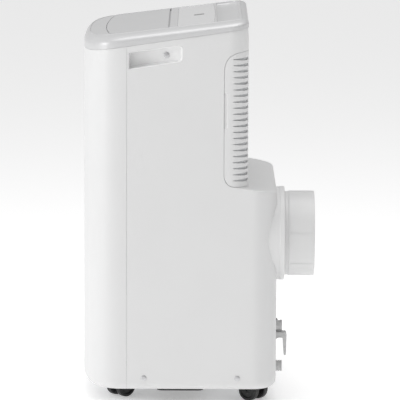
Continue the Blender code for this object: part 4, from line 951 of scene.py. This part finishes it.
DRAIN_LENGTH, PLUG_LENGTH, GROOVE_DEPTH, GROOVE_SLOPE = 0.012, 0.010, 0.0009, 0.0004


def drain_plug(name, z, grips, body, node):
    """A cap with shallow grip grooves and a dished end, and a thinner plug behind it through the wall."""
    radius, neck_radius, low = DRAIN_RADIUS, DRAIN_RADIUS - 0.003, DRAIN_RADIUS - GROOVE_DEPTH
    corners = [(0, -PLUG_LENGTH), (neck_radius, -PLUG_LENGTH), (neck_radius, 0), (radius, 0)]
    step = DRAIN_LENGTH / (2 * grips + 1)
    for grip in range(grips):
        start = step * (2 * grip + 1)
        corners += [(radius, start), (low, start + GROOVE_SLOPE)]
        corners += [(low, start + step - GROOVE_SLOPE), (radius, start + step)]
    corners += [(radius, DRAIN_LENGTH), (radius * 0.55, DRAIN_LENGTH)]
    corners += [(radius * 0.5, DRAIN_LENGTH - 0.001), (0, DRAIN_LENGTH - 0.001)]
    reach = [0, 0.0008, 0.0002, 0.0004] + [0.0002] * 4 * grips + [0.0014, 0.0004, 0.0004, 0]
    plug = turned(name, softened(corners, reach, 4), (FITTING_X, LOWER_REAR_Y + SEAM_GAP, z), (0, 1, 0), 64)
    dress(even(plug), fitting_white, body, "white_plastic", node)


drain_plug("upper_drain_plug_cap", UPPER_DRAIN_Z, 1, "upper_drain", "upper_drain_plug")
drain_plug("lower_drain_plug_cap", LOWER_DRAIN_Z, 2, "lower_drain", "lower_drain_cap")
black_plastic = moulded("black_moulding", (0.006, 0.006, 0.0065), 0.46, 1500.0, 0.00003, 0.15)
gland_profile = [(0.0035, -0.008), (GLAND_RADIUS, -0.008), (GLAND_RADIUS, 0), (GLAND_RADIUS + 0.003, 0)]
gland_profile += [(GLAND_RADIUS + 0.003, 0.003), (GLAND_RADIUS - 0.001, 0.010), (0.0035, 0.010)]
gland_profile = softened(gland_profile, (0.0005, 0.0005, 0.0002, 0.0004, 0.0014, 0.0012, 0.0006), 4)
gland_place = (GLAND_X, LOWER_REAR_Y + SEAM_GAP, GLAND_Z)
gland = turned("cord_gland_bush", gland_profile, gland_place, (0, 1, 0), 48, True)
dress(even(gland), black_plastic, "cabinet", "black_plastic", "cord_gland")


# ---------------------------------------------------------------------------
# Castors: black nylon twin wheels on a steel-cored axle, under a round hood
# whose stem turns in a socket in the base pan.

WHEEL_RADIUS, WHEEL_WIDTH, WHEEL_SPACING, AXLE_RADIUS = 0.020, 0.0115, 0.027, 0.0025
TRAIL, STEM_RADIUS, BOSS_RADIUS = 0.014, 0.005, 0.0095
HOOD_WALL, HOOD_CLEARANCE, RUNNING_GAP = 0.002, 0.0012, 0.0004
wheel_nylon = moulded("black_wheel_nylon", (0.011, 0.011, 0.0115), 0.42, 1200.0, 0.00004, 0.2)


def ring_arc(radius, start, end, steps):
    """Points on a circle about the axle, in the plane across it."""
    turn = np.radians(np.linspace(start, end, steps))
    return np.stack([radius * np.cos(turn), radius * np.sin(turn)], axis=-1)


def across_axle(name, outline, centre, axle, half):
    """An outline in the upright plane across the axle, carried along the axle by half each way."""
    along = np.array([-axle[1], axle[0], 0.0])
    flat = centre + outline[:, :1] * along + outline[:, 1:] * np.array([0.0, 0.0, 1.0])
    return loft(name, [flat - axle * half, flat + axle * half])


def wheel(name, centre, axle, side, body, node):
    """A tyre with rounded shoulders, a recessed face and a raised hub round the axle bore."""
    half, bore = WHEEL_WIDTH / 2, AXLE_RADIUS + RUNNING_GAP
    corners = [(bore, -half), (0.0045, -half), (0.0052, -half + 0.0016), (0.0135, -half + 0.0020)]
    corners += [(0.0150, -half), (WHEEL_RADIUS, -half), (WHEEL_RADIUS, half), (0.0150, half)]
    corners += [(0.0135, half - 0.0020), (0.0052, half - 0.0016), (0.0045, half), (bore, half)]
    reach = [0.0003, 0.0005, 0.0005, 0.0005, 0.0006, 0.0024, 0.0024, 0.0006, 0.0005, 0.0005, 0.0005, 0.0003]
    place = centre + axle * side * WHEEL_SPACING / 2
    made = turned(name, softened(corners, reach, 4), place, axle, 64, True)
    dress(even(made), wheel_nylon, body, "wheel_plastic", node)


for place, (x, y, heading, trail_way) in CASTOR_SPOTS.items():
    axle = np.array([np.cos(np.radians(heading)), np.sin(np.radians(heading)), 0.0])
    along = np.array([-axle[1], axle[0], 0.0])
    centre = np.array([x, y, WHEEL_RADIUS]) + along * TRAIL * trail_way
    node = "castor_" + place
    inner_radius = WHEEL_RADIUS + HOOD_CLEARANCE
    half = (WHEEL_SPACING + WHEEL_WIDTH) / 2 + RUNNING_GAP
    web = (WHEEL_SPACING - WHEEL_WIDTH) / 2 - RUNNING_GAP
    outside, inside = ring_arc(inner_radius + HOOD_WALL, 28, 152, 34), ring_arc(inner_radius, 152, 28, 34)
    cover = np.concatenate([outside, inside])
    hood = across_axle(node + "_hood", cover, centre, axle, half)
    fin = np.concatenate([ring_arc(inner_radius + 0.001, 30, 150, 24), ring_arc(0.010, 190, 350, 16)])
    neck, shoulder = web - 0.0005, WHEEL_RADIUS + inner_radius + HOOD_WALL + 0.0005
    stem_foot, stem_end = WHEEL_RADIUS + 0.010, CASTOR_TOP_Z + 0.010
    stem = [(0, stem_foot), (neck, stem_foot), (neck, shoulder), (BOSS_RADIUS, shoulder)]
    stem += [(BOSS_RADIUS, CASTOR_TOP_Z), (STEM_RADIUS, CASTOR_TOP_Z)]
    stem += [(STEM_RADIUS, stem_end), (0, stem_end)]
    pin = drum(AXLE_RADIUS, -half + 0.0024, half - 0.0024)
    joined = [across_axle(node + "_fin", fin, centre, axle, web)]
    joined.append(turned(node + "_stem", stem, (x, y, 0), (0, 0, 1), 40))
    joined.append(turned(node + "_pin", pin, centre, axle, 28))
    carve(hood, joined, "UNION")
    dress(eased(hood, 0.0003, 2), black_plastic, place + "_swivel", "black_plastic", node)
    for number, side in ((1, -1), (2, 1)):
        name = f"{node}_wheel_{number}"
        wheel(name + "_tyre", centre, axle, side, f"{place}_wheel_{number}", name)


# ---------------------------------------------------------------------------
# Base: the grey pan that carries everything, with a well over each castor, and
# the black skid between the wheels that the body tips onto.

PAN_FLOOR, PAN_HEIGHT, PAN_CLEARANCE, WELL_WALL = 0.004, 0.030, 0.0031, 0.0025
SKID_HALF, SKID_FRONT_Y, SKID_REAR_Y, SKID_Z, SKID_ROUND = 0.185, -0.075, 0.011, 0.0195, 0.0035
SKID_MIDDLE_Y = (SKID_FRONT_Y + SKID_REAR_Y) / 2
pan_rings = []
for turn in np.linspace(0.0, np.pi / 2, 8):
    x, y = lower_plan(PAN_CLEARANCE + FOOT_ROUND * (1 - np.sin(turn)))
    pan_rings.append(stack(x, y, FOOT_Z + 0.0006 + FOOT_ROUND * (1 - np.cos(turn))))
x, y = lower_plan(PAN_CLEARANCE)
pan_rings.append(stack(x, y, FOOT_Z + PAN_HEIGHT))
pan = loft("base_pan_moulding", pan_rings)
roof = CASTOR_TOP_Z + 0.0015
pocket_plan = np.stack(lower_plan(PAN_CLEARANCE + FOOT_ROUND + 0.003), axis=-1)
pocket_foot, pocket_top = level_at(FOOT_Z + PAN_FLOOR), level_at(FOOT_Z + PAN_HEIGHT + 0.01)
pocket = plan_prism("pan_pocket", pocket_plan, pocket_foot, pocket_top)
wells, hollows = [], []
for place, (x, y, _, _) in CASTOR_SPOTS.items():
    for kept, wall in ((wells, WELL_WALL), (hollows, 0.0)):
        profile = drum(SWING_RADIUS + wall, 0, roof + wall)
        kept.append(turned(f"well_{place}_{wall}", profile, (x, y, 0), (0, 0, 1), 72))
    socket = drum(STEM_RADIUS + SEAM_GAP, roof - 0.01, roof + 0.03)
    hollows.append(turned("socket_" + place, socket, (x, y, 0), (0, 0, 1), 32))
for y in SIDE_SCREW_YS:
    for side in (-1, 1):
        hole = drum(SCREW_HOLE, 0.2, BEYOND)
        hollows.append(turned(f"pan_screw_{y}_{side}", hole, (0, y, SIDE_SCREW_Z), (side, 0, 0), 20))
hollows.append(along_back("pan_drain", DRAIN_BORE, FITTING_X, LOWER_DRAIN_Z))
carve(pan, [carve(pocket, wells)])
carve(pan, hollows)
dress(even(pan), grey_plastic, "cabinet", "grey_plastic", "base_pan")

skid_plan = rectangle((-SKID_HALF, SKID_FRONT_Y), (SKID_HALF, SKID_REAR_Y), 0.009)
skid_rings = []
for turn in np.linspace(0.0, np.pi / 2, 6):
    pull = SKID_ROUND * (1 - np.sin(turn))
    x = skid_plan[:, 0] * (1 - pull / SKID_HALF)
    y = skid_plan[:, 1] - np.sign(skid_plan[:, 1] - SKID_MIDDLE_Y) * pull
    skid_rings.append(stack(x, y, SKID_Z + SKID_ROUND * (1 - np.cos(turn))))
skid_rings.append(stack(skid_plan[:, 0], skid_plan[:, 1], FOOT_Z + SEAM_GAP))
skid = loft("base_skid_bar", skid_rings)
dress(even(skid), black_plastic, "cabinet", "black_plastic", "base_skid")


# ---------------------------------------------------------------------------
# Cold side: evaporator coil, drum fan with its scroll and motor, the control
# box and the tray that divides it from the hot side below. Hot side: condenser
# coil, its fan, scroll and motor, compressor, accumulator, pipe and capacitor.

FIN_PITCH, BANDS_PER_UNIT = 0.0016, 0.314
ALUMINIUM = (0.74, 0.75, 0.77)


def finned(name, colour, direction):
    """Pressed fins: fine bands along one direction in relief, and in colour as painted shade that darkens
    the gaps between the fins.
    """
    made = Finish(name, metallic=0.9)
    settings = {"wave_type": "BANDS", "bands_direction": direction, "wave_profile": "SAW"}
    inputs = {"Vector": made.place, "Scale": BANDS_PER_UNIT / FIN_PITCH, "Distortion": 0.0}
    bands = made.node("ShaderNodeTexWave", settings, inputs)
    # Painted shade: the colour falls to about a third in the gaps between the fins.
    made.paint(base_color=made.between(bands, toned(colour, 0.35), colour))
    made.paint(roughness=0.3 + 0.3 * made.noise(300.0))
    made.bump(bands, 0.0004)
    return made.material


def enamelled(name, colour, roughness):
    """Sprayed enamel: orange peel in relief and slightly dusty patches."""
    made = Finish(name)
    cloud = made.noise(30.0, 4.0)
    made.paint(base_color=made.between(cloud, colour, tuple(1.8 * c + 0.006 for c in colour)))
    made.paint(roughness=roughness + 0.2 * cloud)
    made.bump(made.noise(500.0), 0.00004)
    return made.material


def refinish(node, finish):
    """A part whose shape already serves keeps it and takes a better finish."""
    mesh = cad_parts[node].data
    if not mesh.materials:
        mesh.materials.append(finish)
    for index in range(len(mesh.materials)):
        mesh.materials[index] = finish


inner_finishes = {
    finned("evaporator_fins", ALUMINIUM, "X"): ["evaporator_coil"],
    finned("condenser_fins", ALUMINIUM, "Y"): ["condenser_coil"],
    grey_plastic: [
        "evaporator_fan", "evaporator_scroll", "partition_tray",
        "control_box", "condenser_fan", "condenser_scroll",
    ],
    enamelled("black_enamel_coat", (0.02, 0.02, 0.02), 0.25): [
        "evaporator_fan_motor", "flap_motor", "condenser_fan_motor", "compressor", "accumulator",
    ],
    plated("capacitor_can", (0.70, 0.71, 0.72), 0.35): ["run_capacitor"],
    plated("drawn_copper", (0.72, 0.38, 0.24), 0.30): ["discharge_pipe"],
}
for finish, nodes in inner_finishes.items():
    for node in nodes:
        refinish(node, finish)


# ---------------------------------------------------------------------------
# Studio: a plain pale floor that glows a little, a white surround that is
# brighter ahead of the cabinet than behind it, and three soft lights. The camera
# looks at the side of the cabinet from a little above, through a long lens.

bpy.context.scene.view_settings.view_transform = "Standard"
FLOOR_HALF, FLOOR_GLOW = 60.0, 0.36
corners = np.array([(-1, -1, 0), (1, -1, 0), (1, 1, 0), (-1, 1, 0)]) * FLOOR_HALF
floor_mesh = bpy.data.meshes.new("studio_floor")
floor_mesh.from_pydata(corners, [], [(0, 1, 2, 3)])
floor = bpy.data.objects.new("studio_floor", floor_mesh)
bpy.context.scene.collection.objects.link(floor)
paper = Finish("pale_paper", base_color=(0.90, 0.90, 0.90, 1.0), roughness=0.9)
paper.paint(emission_color=(1.0, 1.0, 1.0, 1.0), emission_strength=FLOOR_GLOW)
floor_mesh.materials.append(paper.material)

SURROUND_STRENGTH, SURROUND_FRONT, SURROUND_REAR = 0.66, 1.0, 0.5
world = bpy.data.worlds.new("studio_surround")
world.use_nodes = True
wiring = world.node_tree
surround = wiring.nodes["Background"]
surround.inputs["Strength"].default_value = SURROUND_STRENGTH
direction = wiring.nodes.new("ShaderNodeTexCoord").outputs["Generated"]
split = wiring.nodes.new("ShaderNodeSeparateXYZ")
rearward = wiring.nodes.new("ShaderNodeMapRange")
rearward.inputs["From Min"].default_value = -1.0
rearward.inputs["To Min"].default_value = SURROUND_FRONT
rearward.inputs["To Max"].default_value = SURROUND_REAR
wiring.links.new(direction, split.inputs[0])
wiring.links.new(split.outputs["Y"], rearward.inputs["Value"])
wiring.links.new(rearward.outputs["Result"], surround.inputs["Color"])
bpy.context.scene.world = world

SOFTBOXES = {
    "overhead": ((0.3, 0.45, 3.2), (0.0, 0.0, 0.5), 2.6, 44.0),
    "front_key": ((1.1, -2.6, 1.3), (0.1, -0.1, 0.40), 1.2, 25.0),
    "side_fill": ((3.4, -0.3, 1.5), (0.0, 0.0, 0.35), 1.6, 1.0),
}
for name, (place, target, size, power) in SOFTBOXES.items():
    lamp = bpy.data.lights.new(name, "AREA")
    lamp.shape, lamp.size, lamp.energy = "SQUARE", size, power
    holder = bpy.data.objects.new(name, lamp)
    holder.location = place
    holder.rotation_euler = (Vector(target) - Vector(place)).to_track_quat("-Z", "Y").to_euler()
    bpy.context.scene.collection.objects.link(holder)

CAMERA_DISTANCE, CAMERA_PITCH, CAMERA_ROLL = 6.3, np.radians(8.48), np.radians(0.25)
AIM = Vector((0.0, 0.003, 0.3437))
camera_data = bpy.data.cameras.new("studio_camera")
camera_data.sensor_width, camera_data.lens = 36.0, 304.5
camera_data.clip_end = 200.0
camera = bpy.data.objects.new("studio_camera", camera_data)
away = Vector((np.cos(CAMERA_PITCH), 0.0, np.sin(CAMERA_PITCH)))
camera.location = AIM + away * CAMERA_DISTANCE
level = (-away).to_track_quat("-Z", "Y").to_matrix()
camera.rotation_euler = (level @ Matrix.Rotation(CAMERA_ROLL, 3, "Z")).to_euler()
bpy.context.scene.collection.objects.link(camera)
bpy.context.scene.camera = camera
